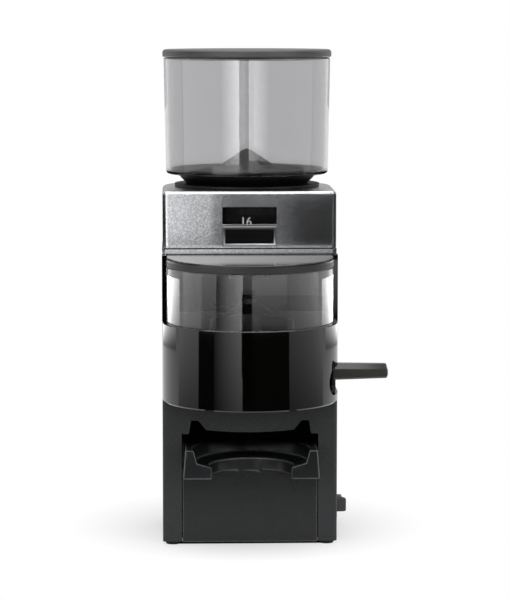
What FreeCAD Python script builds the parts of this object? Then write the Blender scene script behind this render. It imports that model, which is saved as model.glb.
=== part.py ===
import FreeCAD, Part

import math
import os

from FreeCAD import Vector

# Burr coffee grinder with a lever doser, in millimetres.
# The origin is where the burr axis meets the table, +Z is up and the doser faces -Y.

# Clearances
fit_gap = 0.2
swing_gap = 0.5
running_gap = 0.05
overshoot = 1.0

# Body column, a flat front joined to a half-round back
body_half_width = 63.5
front_reach = 12.5
foot_height = 2.5
lower_height = 104.7
upper_height = 105.0
cover_height = 45.5
housing_wall = 3.0
corner_radius = 3.0

# Feet and base plate
foot_radius = 6.4
foot_tip_radius = 5.0
foot_inset = 1.1
base_thickness = 2.5
vent_count = 12
vent_radius = 3.5
vent_circle = 32.0

# Case screws and the pillars that they run through
pillar_radius = 5.5
pillar_inset = 3.5
pillar_side_y = -15.0
pillar_rear_angle = 62.0
pillar_socket = 14.0
case_screw_radius = 2.0
case_screw_bite = 10.0
case_head_radius = 3.6
case_head_height = 2.0

# Front opening of the lower housing and the apron above it, set in from its sides and down from its top
cheek_width = 13.9
opening_drop = 25.3
apron_centre_drop = 24.2
apron_side_drop = 22.4
apron_inset = 17.6
notch_inner_inset = 12.0
notch_outer_inset = 6.9
notch_foot_inset = 5.1
notch_drop = 15.5

# Portafilter fork and its panel
panel_gap = 0.4
panel_bottom = 2.0
fork_drop = 51.8
fork_height = 21.0
fork_reach = 39.0
fork_side_gap = 1.0
fork_taper = 1.6
fork_centre = 29.0
basket_radius = 30.0
basket_height = 8.8
ledge_rise = 3.0
seat_inset = 7.2
seat_draft = 2.4
pocket_wall = 2.5
hood_drop = 12.0
ear_width = 8.0
ear_half_height = 5.0
ear_low = 26.0
ear_high_drop = 40.0
small_screw_radius = 1.5
small_head_radius = 2.8
small_head_height = 1.8

# Motor
plate_thickness = 3.0
stator_radius = 46.0
stator_bore = 26.4
motor_room = 55.2
air_gap = 0.4
winding_inner = 29.0
winding_height = 9.0
bracket_wall = 2.0
bracket_plate = 3.0
motor_bolt_radius = 2.0
motor_bolt_circle = 41.5
motor_bolt_count = 4
motor_nut_radius = 3.6
motor_nut_height = 2.4
shaft_radius = 6.0
bearing_radius = 14.0
bearing_height = 8.0
bearing_wall = 2.5
fan_radius = 40.0
fan_hub_radius = 10.0
fan_height = 11.0
blade_count = 9
fan_blade = 1.6
fan_plate = 1.6
fan_rise = 9.0

# Run capacitor
capacitor_radius = 9.5
capacitor_height = 52.0
capacitor_inset = 12.5
capacitor_setback = 31.0
clip_height = 8.0
clip_wall = 1.5

# Switch on the right-hand side
switch_setback = 36.0
switch_z = 23.5
bezel_length = 25.0
bezel_height = 17.6
bezel_thickness = 1.5
can_length = 21.0
can_height = 13.4
can_depth = 14.0
rocker_length = 16.6
rocker_height = 10.4
rocker_crest = 7.8
rocker_dip = 5.4
rocker_keel = 3.0
rocker_well = 6.5
rocker_tilt = 9.0
rocker_pin_radius = 1.2
terminal_length = 6.0
terminal_width = 4.8
terminal_thickness = 0.8

# Cord inlet at the back
inlet_z = 20.0
inlet_radius = 6.0
inlet_bore = 3.6
inlet_flange = 8.5
inlet_flange_thickness = 2.0
inlet_boss_radius = 10.0
inlet_boss_reach = 1.0
inlet_nut_thickness = 4.0

# Deck and bulkhead inside the upper housing
deck_drop = 32.0
deck_thickness = 3.0
bulkhead_gap = 6.0
bulkhead_thickness = 2.5
shelf_thickness = 3.0
shaft_hole = 9.0
cover_tab_height = 7.0
cover_tab_wall = 2.5
cover_tab_half_angle = 12.0
cover_tab_angle = 50.0

# Doser
band_height = 57.2
band_edge = 1.0
window_wall = 2.4
doser_plate = 3.0
metering_floor = 28.0
works_wall = 3.5
window_drop = 8.0
window_spigot = 3.2
window_gap = 0.1
doser_lid_thickness = 6.0
doser_lid_overhang = 0.1
doser_lid_edge = 1.2
doser_lid_lip = 3.5
doser_lid_lip_wall = 2.0
outlet_margin = 3.0
funnel_taper = 1.5
funnel_drop = 1.5
funnel_wall = 1.5

# Screws up through the motor plate that hold the doser
doser_screw_x = 20.0
doser_screw_setback = 21.0
doser_screw_depth = 2.5

# Dosing star and ratchet
spindle_radius = 4.0
star_hub_radius = 7.0
star_headroom = 8.9
vane_count = 6
star_vane = 2.2
star_tip_gap = 0.8
star_cone_radius = 17.0
star_cone_height = 6.0
spindle_nut_radius = 6.0
spindle_nut_height = 4.0
tooth_count = 12
ratchet_radius = 18.0
ratchet_depth = 3.0
ratchet_thickness = 3.5

# Doser lever
lever_rest_angle = 11.0
lever_stroke = 30.0
lever_level = 16.0
lever_width = 7.0
lever_thickness = 4.0
lever_hub_radius = 12.0
lever_hub_height = 7.0
tang_length = 25.4
handle_sink = 3.0
handle_length = 42.0
handle_root_height = 12.0
handle_tip_height = 10.4
handle_root_width = 13.0
handle_tip_width = 11.0
handle_top_chamfer = 3.8
handle_low_chamfer = 1.4
handle_wall = 1.0
slot_rise = 6.0
slot_height = 20.0
slot_margin = 2.0
pawl_pivot = 27.0
pawl_pin_radius = 1.8
pawl_eye = 3.6
pawl_reach_angle = 36.0
pawl_gap = 2.0
spring_wire = 0.8
spring_radius = 8.0
turn_count = 4
spring_pitch = 2.2

# Burr chamber
chamber_inset = 19.5
chamber_floor = 10.0
grind_wall = 7.0
grind_height = 17.0
thread_wall = 4.0
thread_height = 17.0
thread_gap = 0.3
lug_radius = 6.0
lug_offset = 2.0
lug_height = 5.0
lug_count = 3
lug_screw_radius = 2.0
lug_head_radius = 3.6
lug_head_height = 2.4
port_half_width = 13.0
port_height = 12.0
port_rise = 1.0
chute_wall = 1.5
chute_reach = 8.0

# Burrs
burr_radius = 25.0
burr_bore = 14.0
burr_height = 5.0
burr_bevel = 2.0
groove_count = 16
groove_width = 2.0
groove_depth = 0.8
burr_gap = 0.6
burr_screw_circle = 20.0
burr_screw_radius = 1.7
burr_screw_count = 3
burr_head_radius = 3.0
burr_head_height = 1.6
carrier_gap = 2.0
carrier_height = 6.5
carrier_rise = 0.6
sweeper_count = 3
sweeper_width = 5.0
sweeper_gap = 0.8
shaft_nut_radius = 9.0
shaft_nut_height = 5.0
shaft_tip = 1.5
upper_carrier_bore = 17.0
upper_carrier_wall = 5.0
upper_carrier_rise = 9.0
dog_count = 3
dog_width = 8.0
dog_height = 5.0
dog_reach = 5.0
dog_gap = 0.15
dog_travel = 3.0

# Grind adjusting collar, number ring and hopper
collar_bore_gap = 0.5
collar_wall = 2.2
collar_skirt = 5.0
collar_gap = 0.3
flange_overlap = 6.0
flange_thickness = 1.5
flange_gap = 0.4
cone_waist = 1.5
cone_spread = 3.0
cone_rise = 4.4
collar_rise = 8.8
collar_flare = 2.0
ring_gap = 3.1
ring_wall = 2.5
ring_rise = 17.0
ring_height = 24.0
ring_web = 2.0
click_count = 36
click_radius = 1.2
click_gap = 0.3
click_arm_half_width = 4.0
click_arm_thickness = 1.0
click_foot = 14.0
click_pin_length = 2.0
hopper_low_radius = 60.5
hopper_high_radius = 62.0
hopper_corner = 3.5
hopper_height = 85.8
hopper_wall = 2.5
hopper_neck = 14.0
guard_thickness = 1.6
guard_gap = 0.4
guard_cone_radius = 21.0
guard_cone_foot = 3.0
guard_cone_rise = 12.9
guard_tip_radius = 3.0
guard_window_count = 3
guard_window_inner = 9.0
guard_window_outer = 19.0
guard_window_half_angle = 32.0
hopper_lid_radius = 62.9
hopper_lid_gap = 0.4
hopper_lid_thickness = 5.9
hopper_lid_edge = 0.8
hopper_lid_lip = 1.6
hopper_lid_lip_wall = 2.0

# Top cover, dial window and name plate
cover_setback = 10.0
cover_inset = 0.5
cover_wall = 2.5
cover_edge = 2.2
cover_corner = 4.0
cover_hole_gap = 1.5
cover_lip = 0.4
cover_foot = 3.4
cover_groove = 0.9
cover_groove_depth = 0.8
cover_screw_radius = 1.6
cover_head_radius = 3.2
cover_head_height = 1.4
cover_screw_length = 7.0
dial_half_width = 19.7
dial_rise = 21.5
dial_height = 12.5
lens_margin = 2.0
lens_thickness = 1.5
plate_rise = 5.5
plate_height = 14.5
plate_sheet = 1.4
plate_recess = 1.0

# Levels and places worked out from the sizes above
front_depth = body_half_width + front_reach
front_y = -front_depth
inner_half = body_half_width - housing_wall
z_floor = foot_height
z_base_top = z_floor + base_thickness
z_mid = z_floor + lower_height
z_neck = z_mid + upper_height
z_top = z_neck + cover_height
z_plate = z_mid - plate_thickness
foot_circle = body_half_width - foot_inset - foot_radius
case_circle = inner_half - pillar_inset

# Front opening and fork
opening_half_width = body_half_width - cheek_width
opening_top = z_mid - opening_drop
panel_half = opening_half_width - panel_gap
fork_bottom = z_mid - fork_drop
fork_top = fork_bottom + fork_height
fork_half_bottom = opening_half_width - fork_side_gap
fork_half_top = fork_half_bottom - fork_taper
fork_axis_y = front_y - fork_centre
seat_radius = opening_half_width - seat_inset
pocket_back = fork_axis_y + seat_radius + swing_gap + pocket_wall
hood_top = z_mid - hood_drop
ear_high = z_mid - ear_high_drop

# Motor
stator_top = z_plate - bracket_plate - winding_height
stator_low = stator_top - (lower_height - motor_room)
z_upper_bracket = stator_top + winding_height
z_lower_bracket = stator_low - winding_height
winding_outer = motor_bolt_circle - motor_bolt_radius - bracket_wall - swing_gap
z_shaft = z_lower_bracket - bracket_plate - fan_rise - fan_height
capacitor_x = capacitor_inset - inner_half
capacitor_y = front_y + capacitor_setback
switch_y = front_y + switch_setback

# Doser
doser_y = front_y
doser_screw_y = front_y + doser_screw_setback
window_radius = inner_half - window_gap
chamber_radius = window_radius - window_wall
rear_radius = inner_half - swing_gap
z_deck_low = z_neck - deck_drop
z_deck = z_deck_low + deck_thickness
z_band = z_mid + band_height
z_metering = z_mid + metering_floor
z_window_low = z_band - window_spigot
z_window_top = z_neck - window_drop
z_lid_top = z_window_top + doser_lid_thickness
outlet_inner = ratchet_radius + swing_gap + funnel_wall
funnel_top_radius = (chamber_radius - outlet_margin - outlet_inner) / 2
funnel_mouth_radius = funnel_top_radius - funnel_taper
outlet_centre = outlet_inner + funnel_top_radius
z_lever = z_mid + lever_level
z_star = z_metering + swing_gap
z_star_top = z_deck_low - star_headroom
z_ratchet_top = z_metering - doser_plate - swing_gap
z_ratchet = z_ratchet_top - ratchet_thickness
z_hub_top = z_ratchet - swing_gap
z_hub = z_hub_top - lever_hub_height
handle_start = body_half_width - handle_sink
handle_end = handle_start + handle_length
lever_tang_end = handle_start + tang_length
z_handle = z_lever - lever_thickness / 2 - handle_wall
z_slot = z_mid + slot_rise

# Burrs, collar, ring and hopper
chamber_outer = body_half_width - chamber_inset
grind_radius = chamber_outer - grind_wall
thread_radius = chamber_outer - thread_wall
lug_circle = chamber_outer + lug_offset
carrier_radius = grind_radius - carrier_gap
upper_carrier_rim = thread_radius - upper_carrier_wall
bulkhead_y = -chamber_outer - bulkhead_gap
z_chamber_floor = z_deck + chamber_floor
z_thread = z_chamber_floor + grind_height
z_chamber_top = z_thread + thread_height
z_carrier = z_chamber_floor + carrier_rise
z_lower_burr = z_carrier + carrier_height
z_burr_face = z_lower_burr + burr_height
z_upper_burr = z_burr_face + burr_gap
z_upper_carrier = z_upper_burr + burr_height
z_dog = z_chamber_top + dog_travel
z_port = z_chamber_floor + port_rise
collar_bore = thread_radius + collar_bore_gap
collar_outer = chamber_outer + collar_gap + collar_wall
z_collar = z_chamber_top - collar_skirt
z_seat = z_chamber_top + collar_gap
z_flange = z_top + flange_gap
z_hopper = z_flange + collar_rise
z_hopper_top = z_hopper + hopper_height
z_hopper_floor = z_hopper + hopper_wall
guard_radius = hopper_low_radius - hopper_wall - hopper_corner / 3 - guard_gap
neck_radius = collar_bore - fit_gap

# Top cover
cover_front = front_y + cover_setback
cover_half_width = body_half_width - cover_inset
cover_inner_half = cover_half_width - cover_wall
cover_hole = collar_outer + cover_hole_gap
flange_radius = cover_hole + flange_overlap
ring_radius = cover_inner_half - ring_gap
ring_low = z_neck + ring_rise
ring_high = ring_low + ring_height
click_circle = (collar_outer + ring_radius - ring_wall) / 2
dial_low = z_neck + dial_rise
dial_high = dial_low + dial_height
plate_low = z_neck + plate_rise
plate_high = plate_low + plate_height


def block(x_low, x_high, y_low, y_high, z_low, z_high):
    size = (x_high - x_low, y_high - y_low, z_high - z_low)
    return Part.makeBox(*size, Vector(x_low, y_low, z_low))


def cylinder(radius, z_low, z_high, x=0.0, y=0.0):
    return Part.makeCylinder(radius, z_high - z_low, Vector(x, y, z_low))


def tube(outer, inner, z_low, z_high, x=0.0, y=0.0):
    return cylinder(outer, z_low, z_high, x, y).cut(cylinder(inner, z_low, z_high, x, y))


def rod_y(radius, y_low, y_high, x, z):
    return Part.makeCylinder(radius, y_high - y_low, Vector(x, y_low, z), Vector(0, 1, 0))


def turned(profile, x=0.0, y=0.0):
    """Solid of revolution about the vertical through x, y from (radius, height) points."""
    points = [Vector(x + radius, y, height) for radius, height in profile]
    face = Part.Face(Part.makePolygon(points + points[:1]))
    return face.revolve(Vector(x, y, 0), Vector(0, 0, 1), 360)


def prism_z(points, z_low, z_high):
    corners = [Vector(x, y, z_low) for x, y in points]
    return Part.Face(Part.makePolygon(corners + corners[:1])).extrude(Vector(0, 0, z_high - z_low))


def prism_y(points, y_low, y_high):
    corners = [Vector(x, y_low, z) for x, z in points]
    return Part.Face(Part.makePolygon(corners + corners[:1])).extrude(Vector(0, y_high - y_low, 0))


def column(half_width, front, z_low, z_high, corner=0.0):
    """Prism with a flat front, straight sides and a half-round back about the burr axis."""
    left_front = Vector(-half_width, front, z_low)
    right_front = Vector(half_width, front, z_low)
    right_back = Vector(half_width, 0, z_low)
    left_back = Vector(-half_width, 0, z_low)
    edges = [
        Part.LineSegment(left_front, right_front),
        Part.LineSegment(right_front, right_back),
        Part.Arc(right_back, Vector(0, half_width, z_low), left_back),
        Part.LineSegment(left_back, left_front),
    ]
    wire = Part.Wire([edge.toShape() for edge in edges])
    solid = Part.Face(wire).extrude(Vector(0, 0, z_high - z_low))
    if corner > 0:
        solid = solid.makeFillet(corner, upright_edges(solid, front))
    return solid


def upright_edges(solid, y):
    """Vertical edges that stand on the plane at this y."""
    return [e for e in solid.Edges if all(abs(v.Y - y) < running_gap for v in e.Vertexes)
            and abs(e.Vertexes[0].Z - e.Vertexes[-1].Z) > overshoot]


def rim_edges(solid, z):
    """Edges that lie in the level plane at this z."""
    return [e for e in solid.Edges if abs(e.BoundBox.ZMin - z) < running_gap
            and abs(e.BoundBox.ZMax - z) < running_gap]


def front_half(solid):
    reach = front_depth + chamber_radius
    return solid.common(block(-reach, reach, doser_y - reach, doser_y, 0, z_top))


def rear_half(solid):
    reach = front_depth + chamber_radius
    return solid.common(block(-reach, reach, doser_y, doser_y + reach, 0, z_top))


def wedge(inner, outer, z_low, z_high, start, end, x=0.0, y=0.0):
    """Ring sector between two angles in degrees."""
    ring = Part.makeCylinder(outer, z_high - z_low, Vector(x, y, z_low), Vector(0, 0, 1), end - start)
    ring.rotate(Vector(x, y, 0), Vector(0, 0, 1), start)
    return ring.cut(cylinder(inner, z_low, z_high, x, y))


def turned_by(solid, angle, x=0.0, y=0.0):
    copy = solid.copy()
    copy.rotate(Vector(x, y, 0), Vector(0, 0, 1), angle)
    return copy


def around(solid, count, start=0.0, x=0.0, y=0.0):
    """Copies of a solid at even angles about the vertical through x, y."""
    return [turned_by(solid, start + 360.0 * i / count, x, y) for i in range(count)]


def fused(solids):
    return solids[0].multiFuse(solids[1:]).removeSplitter()


def mirrored_x(solid):
    return solid.mirror(Vector(0, 0, 0), Vector(1, 0, 0))


def case_points():
    """Plan places of the four case screws."""
    angle = math.radians(pillar_rear_angle)
    rear_x = case_circle * math.cos(angle)
    rear_y = case_circle * math.sin(angle)
    right = [(case_circle, pillar_side_y), (rear_x, rear_y)]
    return right + [(-x, y) for x, y in right]


def case_holes(z_low, z_high):
    return [cylinder(case_screw_radius + fit_gap, z_low, z_high, x, y) for x, y in case_points()]


def motor_bolt_holes(z_low, z_high, radius):
    hole = cylinder(radius, z_low, z_high, motor_bolt_circle, 0)
    return around(hole, motor_bolt_count, 180.0 / motor_bolt_count)


def doser_screw_holes(z_low, z_high, radius):
    return [cylinder(radius, z_low, z_high, x, doser_screw_y) for x in (-doser_screw_x, doser_screw_x)]


def make_rubber_feet():
    slant = foot_circle * math.sqrt(0.5)
    front = front_y + foot_inset + foot_radius
    places = [(-foot_circle, front), (foot_circle, front), (-slant, slant), (slant, slant)]
    return Part.makeCompound([
        Part.makeCone(foot_tip_radius, foot_radius, foot_height, Vector(x, y, 0)) for x, y in places
    ])


def make_base_plate():
    plate = column(inner_half - fit_gap, front_y + housing_wall + fit_gap, z_floor, z_base_top)
    vent = cylinder(vent_radius, z_floor, z_base_top, vent_circle, 0)
    return plate.cut(case_holes(z_floor, z_base_top) + around(vent, vent_count))


def make_case_screws():
    return Part.makeCompound([
        cylinder(case_head_radius, z_floor - case_head_height, z_floor, x, y).fuse(
            cylinder(case_screw_radius, z_floor, z_mid + case_screw_bite, x, y))
        for x, y in case_points()
    ])


def opening_cutter():
    """Outline of the front opening: a straight doorway with a bowed apron and two raised notches."""
    low = panel_bottom - overshoot
    edge = opening_half_width
    right = [
        (edge, low),
        (edge, opening_top),
        (edge - notch_foot_inset, opening_top),
        (edge - notch_outer_inset, z_mid - notch_drop),
        (edge - notch_inner_inset, z_mid - notch_drop),
        (edge - apron_inset, z_mid - apron_side_drop),
    ]
    y = front_y - overshoot
    corners = [Vector(x, y, z) for x, z in right]
    mirrored = [Vector(-x, y, z) for x, z in reversed(right)]
    bow = Part.Arc(corners[-1], Vector(0, y, z_mid - apron_centre_drop), mirrored[0]).toShape()
    outline = Part.Wire(
        Part.makePolygon(corners).Edges + [bow] + Part.makePolygon(mirrored + corners[:1]).Edges
    )
    return Part.Face(outline).extrude(Vector(0, housing_wall + 2 * overshoot, 0))


def inlet_rod(radius, y_low, y_high):
    return rod_y(radius, y_low, y_high, 0, inlet_z)


def switch_block(length, height, x_low, x_high):
    return block(x_low, x_high, switch_y - length / 2, switch_y + length / 2,
                 switch_z - height / 2, switch_z + height / 2)


def fork_screw_places():
    x = panel_half + ear_width / 2
    return [(side * x, z) for side in (-1, 1) for z in (ear_low, ear_high)]


def make_lower_housing():
    inner = column(inner_half, front_y + housing_wall, z_floor, z_mid)
    shell = column(body_half_width, front_y, z_floor, z_mid, corner_radius).cut(inner)
    pillars = [cylinder(pillar_radius, z_base_top, z_plate, x, y).common(inner) for x, y in case_points()]
    boss = inlet_rod(inlet_boss_radius, inner_half - overshoot, body_half_width + inlet_boss_reach)
    shell = fused([shell, boss] + pillars)
    wall_y = front_y + housing_wall
    screw_holes = [rod_y(small_screw_radius, wall_y - housing_wall / 2, wall_y, x, z)
                   for x, z in fork_screw_places()]
    cuts = [
        opening_cutter(),
        inlet_rod(inlet_radius + fit_gap, 0, body_half_width + inlet_boss_radius),
        switch_block(can_length + fit_gap, can_height + fit_gap, inner_half - overshoot,
                     body_half_width + overshoot),
    ]
    return shell.cut(cuts + screw_holes + case_holes(z_base_top, z_plate))


def make_fork_panel():
    wall_y = front_y + housing_wall
    z_hood = hood_top - pocket_wall
    fork = prism_y([(-fork_half_bottom, fork_bottom), (fork_half_bottom, fork_bottom),
                    (fork_half_top, fork_top), (-fork_half_top, fork_top)],
                   front_y - fork_reach, wall_y)
    panel = block(-panel_half, panel_half, front_y, wall_y, panel_bottom, fork_bottom)
    hood = block(-panel_half, panel_half, wall_y, pocket_back, fork_bottom - pocket_wall, hood_top)
    cavity = block(-panel_half + pocket_wall, panel_half - pocket_wall, wall_y - overshoot,
                   pocket_back - pocket_wall, fork_top, z_hood)
    recess = turned([
        (0, fork_bottom - overshoot), (basket_radius, fork_bottom - overshoot),
        (basket_radius, fork_bottom + basket_height),
        (seat_radius - seat_draft, fork_bottom + basket_height + ledge_rise),
        (seat_radius, fork_top), (seat_radius, fork_top + overshoot), (0, fork_top + overshoot),
    ], 0, fork_axis_y)
    low_ear = block(panel_half - ear_width, panel_half + ear_width, wall_y, wall_y + pocket_wall,
                    ear_low - ear_half_height, ear_low + ear_half_height)
    high_ear = block(panel_half - pocket_wall, panel_half + ear_width, wall_y, wall_y + pocket_wall,
                     ear_high - ear_half_height, ear_high + ear_half_height)
    ears = [low_ear, high_ear, mirrored_x(low_ear), mirrored_x(high_ear)]
    holes = [rod_y(small_screw_radius, wall_y, wall_y + pocket_wall, x, z) for x, z in fork_screw_places()]
    return fused([fork, panel, hood] + ears).cut([cavity, recess] + holes)


def make_fork_screws():
    wall_y = front_y + housing_wall
    seat = wall_y + pocket_wall
    return Part.makeCompound([
        rod_y(small_screw_radius, wall_y - housing_wall / 2, seat, x, z).fuse(
            rod_y(small_head_radius, seat, seat + small_head_height, x, z))
        for x, z in fork_screw_places()
    ])


def make_motor_plate():
    plate = column(inner_half - fit_gap, front_y + housing_wall + fit_gap, z_plate, z_mid)
    holes = motor_bolt_holes(z_plate, z_mid, motor_bolt_radius + fit_gap)
    sinks = motor_bolt_holes(z_mid - motor_nut_height, z_mid, motor_nut_radius + fit_gap)
    shaft = cylinder(shaft_hole, z_plate, z_mid)
    holes += doser_screw_holes(z_plate, z_mid, small_screw_radius + fit_gap)
    return plate.cut(case_holes(z_plate, z_mid) + holes + sinks + [shaft])


def make_stator():
    core = tube(stator_radius, stator_bore, stator_low, stator_top)
    return core.cut(motor_bolt_holes(stator_low, stator_top, motor_bolt_radius + fit_gap))


def make_windings():
    def end_turns(z_low, z_high):
        round_off = winding_height / 4
        return turned([
            (winding_inner, z_low), (winding_outer, z_low), (winding_outer, z_high - round_off),
            (winding_outer - round_off, z_high), (winding_inner + round_off, z_high),
            (winding_inner, z_high - round_off),
        ])

    upper = end_turns(stator_top, stator_top + winding_height - fit_gap)
    lower = upper.mirror(Vector(0, 0, (stator_low + stator_top) / 2), Vector(0, 0, 1))
    return Part.makeCompound([upper, lower])


def end_bracket():
    """Cup that closes the top of the motor and holds a bearing."""
    z_high = z_upper_bracket + bracket_plate
    pocket = z_upper_bracket - bearing_height
    cup = cylinder(stator_radius, stator_top, z_high).cut(
        cylinder(stator_radius - bracket_wall, stator_top, z_upper_bracket))
    boss = cylinder(bearing_radius + bearing_wall, pocket, z_upper_bracket)
    posts = [post.common(cylinder(stator_radius, stator_top, z_high)) for post in
             motor_bolt_holes(stator_top, z_upper_bracket, motor_bolt_radius + bracket_wall)]
    bracket = fused([cup, boss] + posts)
    seat = cylinder(bearing_radius, pocket, z_upper_bracket)
    bore = cylinder(shaft_radius + swing_gap, z_upper_bracket, z_high)
    return bracket.cut([seat, bore] + motor_bolt_holes(stator_top, z_high, motor_bolt_radius + fit_gap))


def make_upper_bracket():
    return end_bracket()


def make_lower_bracket():
    return end_bracket().mirror(Vector(0, 0, (stator_low + stator_top) / 2), Vector(0, 0, 1))


def bearing(z_low):
    groove = bearing_wall / 2
    ring = tube(bearing_radius, shaft_radius + running_gap, z_low, z_low + bearing_height)
    face = tube(bearing_radius - bearing_wall, shaft_radius + bearing_wall, z_low, z_low + groove)
    other = face.translated(Vector(0, 0, bearing_height - groove))
    return ring.cut([face, other])


def make_motor_bearings():
    return Part.makeCompound([bearing(z_upper_bracket - bearing_height), bearing(z_lower_bracket)])


def make_motor_bolts():
    z_low = z_lower_bracket - bracket_plate
    bolts = motor_bolt_holes(z_low - motor_nut_height, z_mid, motor_bolt_radius)
    nuts = motor_bolt_holes(z_low - motor_nut_height, z_low, motor_nut_radius)
    heads = motor_bolt_holes(z_mid - motor_nut_height, z_mid, motor_nut_radius)
    return Part.makeCompound([fused([b, n, h]) for b, n, h in zip(bolts, nuts, heads)])


def make_capacitor():
    can = cylinder(capacitor_radius, z_base_top, z_base_top + capacitor_height, capacitor_x, capacitor_y)
    return can.makeFillet(clip_wall, rim_edges(can, z_base_top + capacitor_height))


def make_capacitor_clip():
    outer = capacitor_radius + clip_wall
    ring = tube(outer, capacitor_radius, z_base_top, z_base_top + clip_height, capacitor_x, capacitor_y)
    tab = block(capacitor_x, capacitor_x + outer + clip_height, capacitor_y - clip_wall,
                capacitor_y + clip_height, z_base_top, z_base_top + clip_wall)
    tab = tab.cut(cylinder(capacitor_radius, z_base_top, z_base_top + clip_wall, capacitor_x, capacitor_y))
    return ring.fuse(tab).removeSplitter()


def make_switch_body():
    outer = body_half_width + bezel_thickness
    bezel = switch_block(bezel_length, bezel_height, body_half_width, outer)
    face_edges = [e for e in bezel.Edges if e.BoundBox.XMin > outer - fit_gap]
    bezel = bezel.makeFillet(bezel_thickness / 2, face_edges)
    can = switch_block(can_length, can_height, body_half_width - can_depth, body_half_width)
    well = switch_block(rocker_length + 2 * swing_gap, rocker_height + 2 * swing_gap,
                        body_half_width - rocker_well, outer)
    pin = cylinder(rocker_pin_radius, switch_z - can_height / 2, switch_z + can_height / 2,
                   body_half_width, switch_y)
    back = body_half_width - can_depth
    terminals = [block(back - terminal_length, back, switch_y + side - terminal_thickness / 2,
                       switch_y + side + terminal_thickness / 2, switch_z - terminal_width / 2,
                       switch_z + terminal_width / 2) for side in (-can_length / 4, can_length / 4)]
    return fused([bezel.fuse(can).cut(well), pin] + terminals)


def make_switch_rocker():
    half = rocker_length / 2
    x = body_half_width
    outline = [
        (x - rocker_keel, switch_y - half / 2), (x, switch_y - half), (x + rocker_crest, switch_y - half),
        (x + rocker_dip, switch_y), (x + rocker_crest, switch_y + half), (x, switch_y + half),
        (x - rocker_keel, switch_y + half / 2),
    ]
    rocker = prism_z(outline, switch_z - rocker_height / 2, switch_z + rocker_height / 2)
    bore = cylinder(rocker_pin_radius + running_gap, switch_z - rocker_height, switch_z + rocker_height,
                    x, switch_y)
    return turned_by(rocker.cut(bore), rocker_tilt, x, switch_y)


def make_cord_inlet():
    seat = body_half_width + inlet_boss_reach
    inside = inner_half - overshoot
    sleeve = inlet_rod(inlet_radius, inside - inlet_nut_thickness, seat)
    flange = inlet_rod(inlet_flange, seat, seat + inlet_flange_thickness)
    nut = inlet_rod(inlet_flange, inside - inlet_nut_thickness, inside)
    bore = inlet_rod(inlet_bore, 0, seat + inlet_flange)
    return fused([sleeve, flange, nut]).cut(bore)


def cover_tab_angles():
    return (90.0 - cover_tab_angle, 90.0 + cover_tab_angle)


def cover_screw_rod(radius, start, end, angle):
    z = z_neck + cover_tab_height / 2
    way = Vector(math.cos(math.radians(angle)), math.sin(math.radians(angle)), 0)
    return Part.makeCylinder(radius, end - start, way * start + Vector(0, 0, z), way)


def chute_block(half_width, z_margin, y_low, y_high):
    return block(-half_width, half_width, y_low, y_high, z_port - z_margin, z_port + port_height + z_margin)


def make_upper_housing():
    shell = column(body_half_width, front_y, z_mid, z_neck)
    shell = shell.cut(column(inner_half, front_y - overshoot, z_mid, z_neck))
    back = bulkhead_y + bulkhead_thickness
    deck = column(inner_half, bulkhead_y, z_deck_low, z_deck)
    bulkhead = block(-inner_half, inner_half, bulkhead_y, back, z_deck_low, z_neck)
    shelf = block(-inner_half, inner_half, cover_front, back, z_neck - shelf_thickness, z_neck)
    inner = column(inner_half, front_y, z_mid, z_neck)
    pillars = [cylinder(pillar_radius, z_mid, z_mid + pillar_socket, x, y).common(inner)
               for x, y in case_points()]
    outer_tab = cover_inner_half - fit_gap
    tabs = []
    for angle in cover_tab_angles():
        span = (angle - cover_tab_half_angle, angle + cover_tab_half_angle)
        tabs.append(wedge(outer_tab - cover_tab_wall, outer_tab, z_neck, z_neck + cover_tab_height, *span))
        tabs.append(wedge(outer_tab - cover_tab_wall, inner_half, z_neck - cover_tab_height, z_neck, *span))
    housing = fused([shell, deck, bulkhead, shelf] + pillars + tabs)
    lug_holes = around(cylinder(lug_screw_radius, z_deck_low, z_deck, lug_circle, 0), lug_count, 90.0)
    tab_holes = [cover_screw_rod(cover_screw_radius, 0, outer_tab + overshoot, angle)
                 for angle in cover_tab_angles()]
    cuts = [
        cylinder(shaft_hole, z_deck_low, z_deck),
        chute_block(port_half_width + chute_wall + fit_gap, chute_wall + fit_gap, bulkhead_y - overshoot,
                    back + overshoot),
        lever_slot(),
    ]
    cuts += lug_holes + tab_holes + case_holes(z_mid, z_mid + case_screw_bite)
    return housing.cut(cuts)


def lever_slot():
    """Slot through the band and the side wall that the handle sweeps, with a round front end."""
    end_radius = slot_height / 2
    z_centre = z_slot + end_radius
    flank = z_handle + handle_root_height - handle_top_chamfer - z_centre
    end_reach = math.sqrt(end_radius ** 2 - flank ** 2)
    margin = math.degrees(math.asin(handle_root_width / 2 / handle_start)) + slot_margin
    rear = lever_rest_angle + margin
    front = lever_rest_angle - lever_stroke - margin + math.degrees(math.asin(end_reach / body_half_width))
    inside = chamber_radius - works_wall - overshoot
    reach = body_half_width * 2
    slot = wedge(inside, reach, z_slot, z_slot + slot_height, front, rear, 0, doser_y)
    way = Vector(math.cos(math.radians(front)), math.sin(math.radians(front)), 0)
    start = Vector(0, doser_y, z_centre) + way * inside
    return slot.fuse(Part.makeCylinder(end_radius, reach - inside, start, way))


def outlet_cone(radius_top, radius_mouth, z_low):
    y = doser_y - outlet_centre
    z_high = z_metering - doser_plate
    return Part.makeCone(radius_mouth, radius_top, z_high - z_low, Vector(0, y, z_low))


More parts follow.
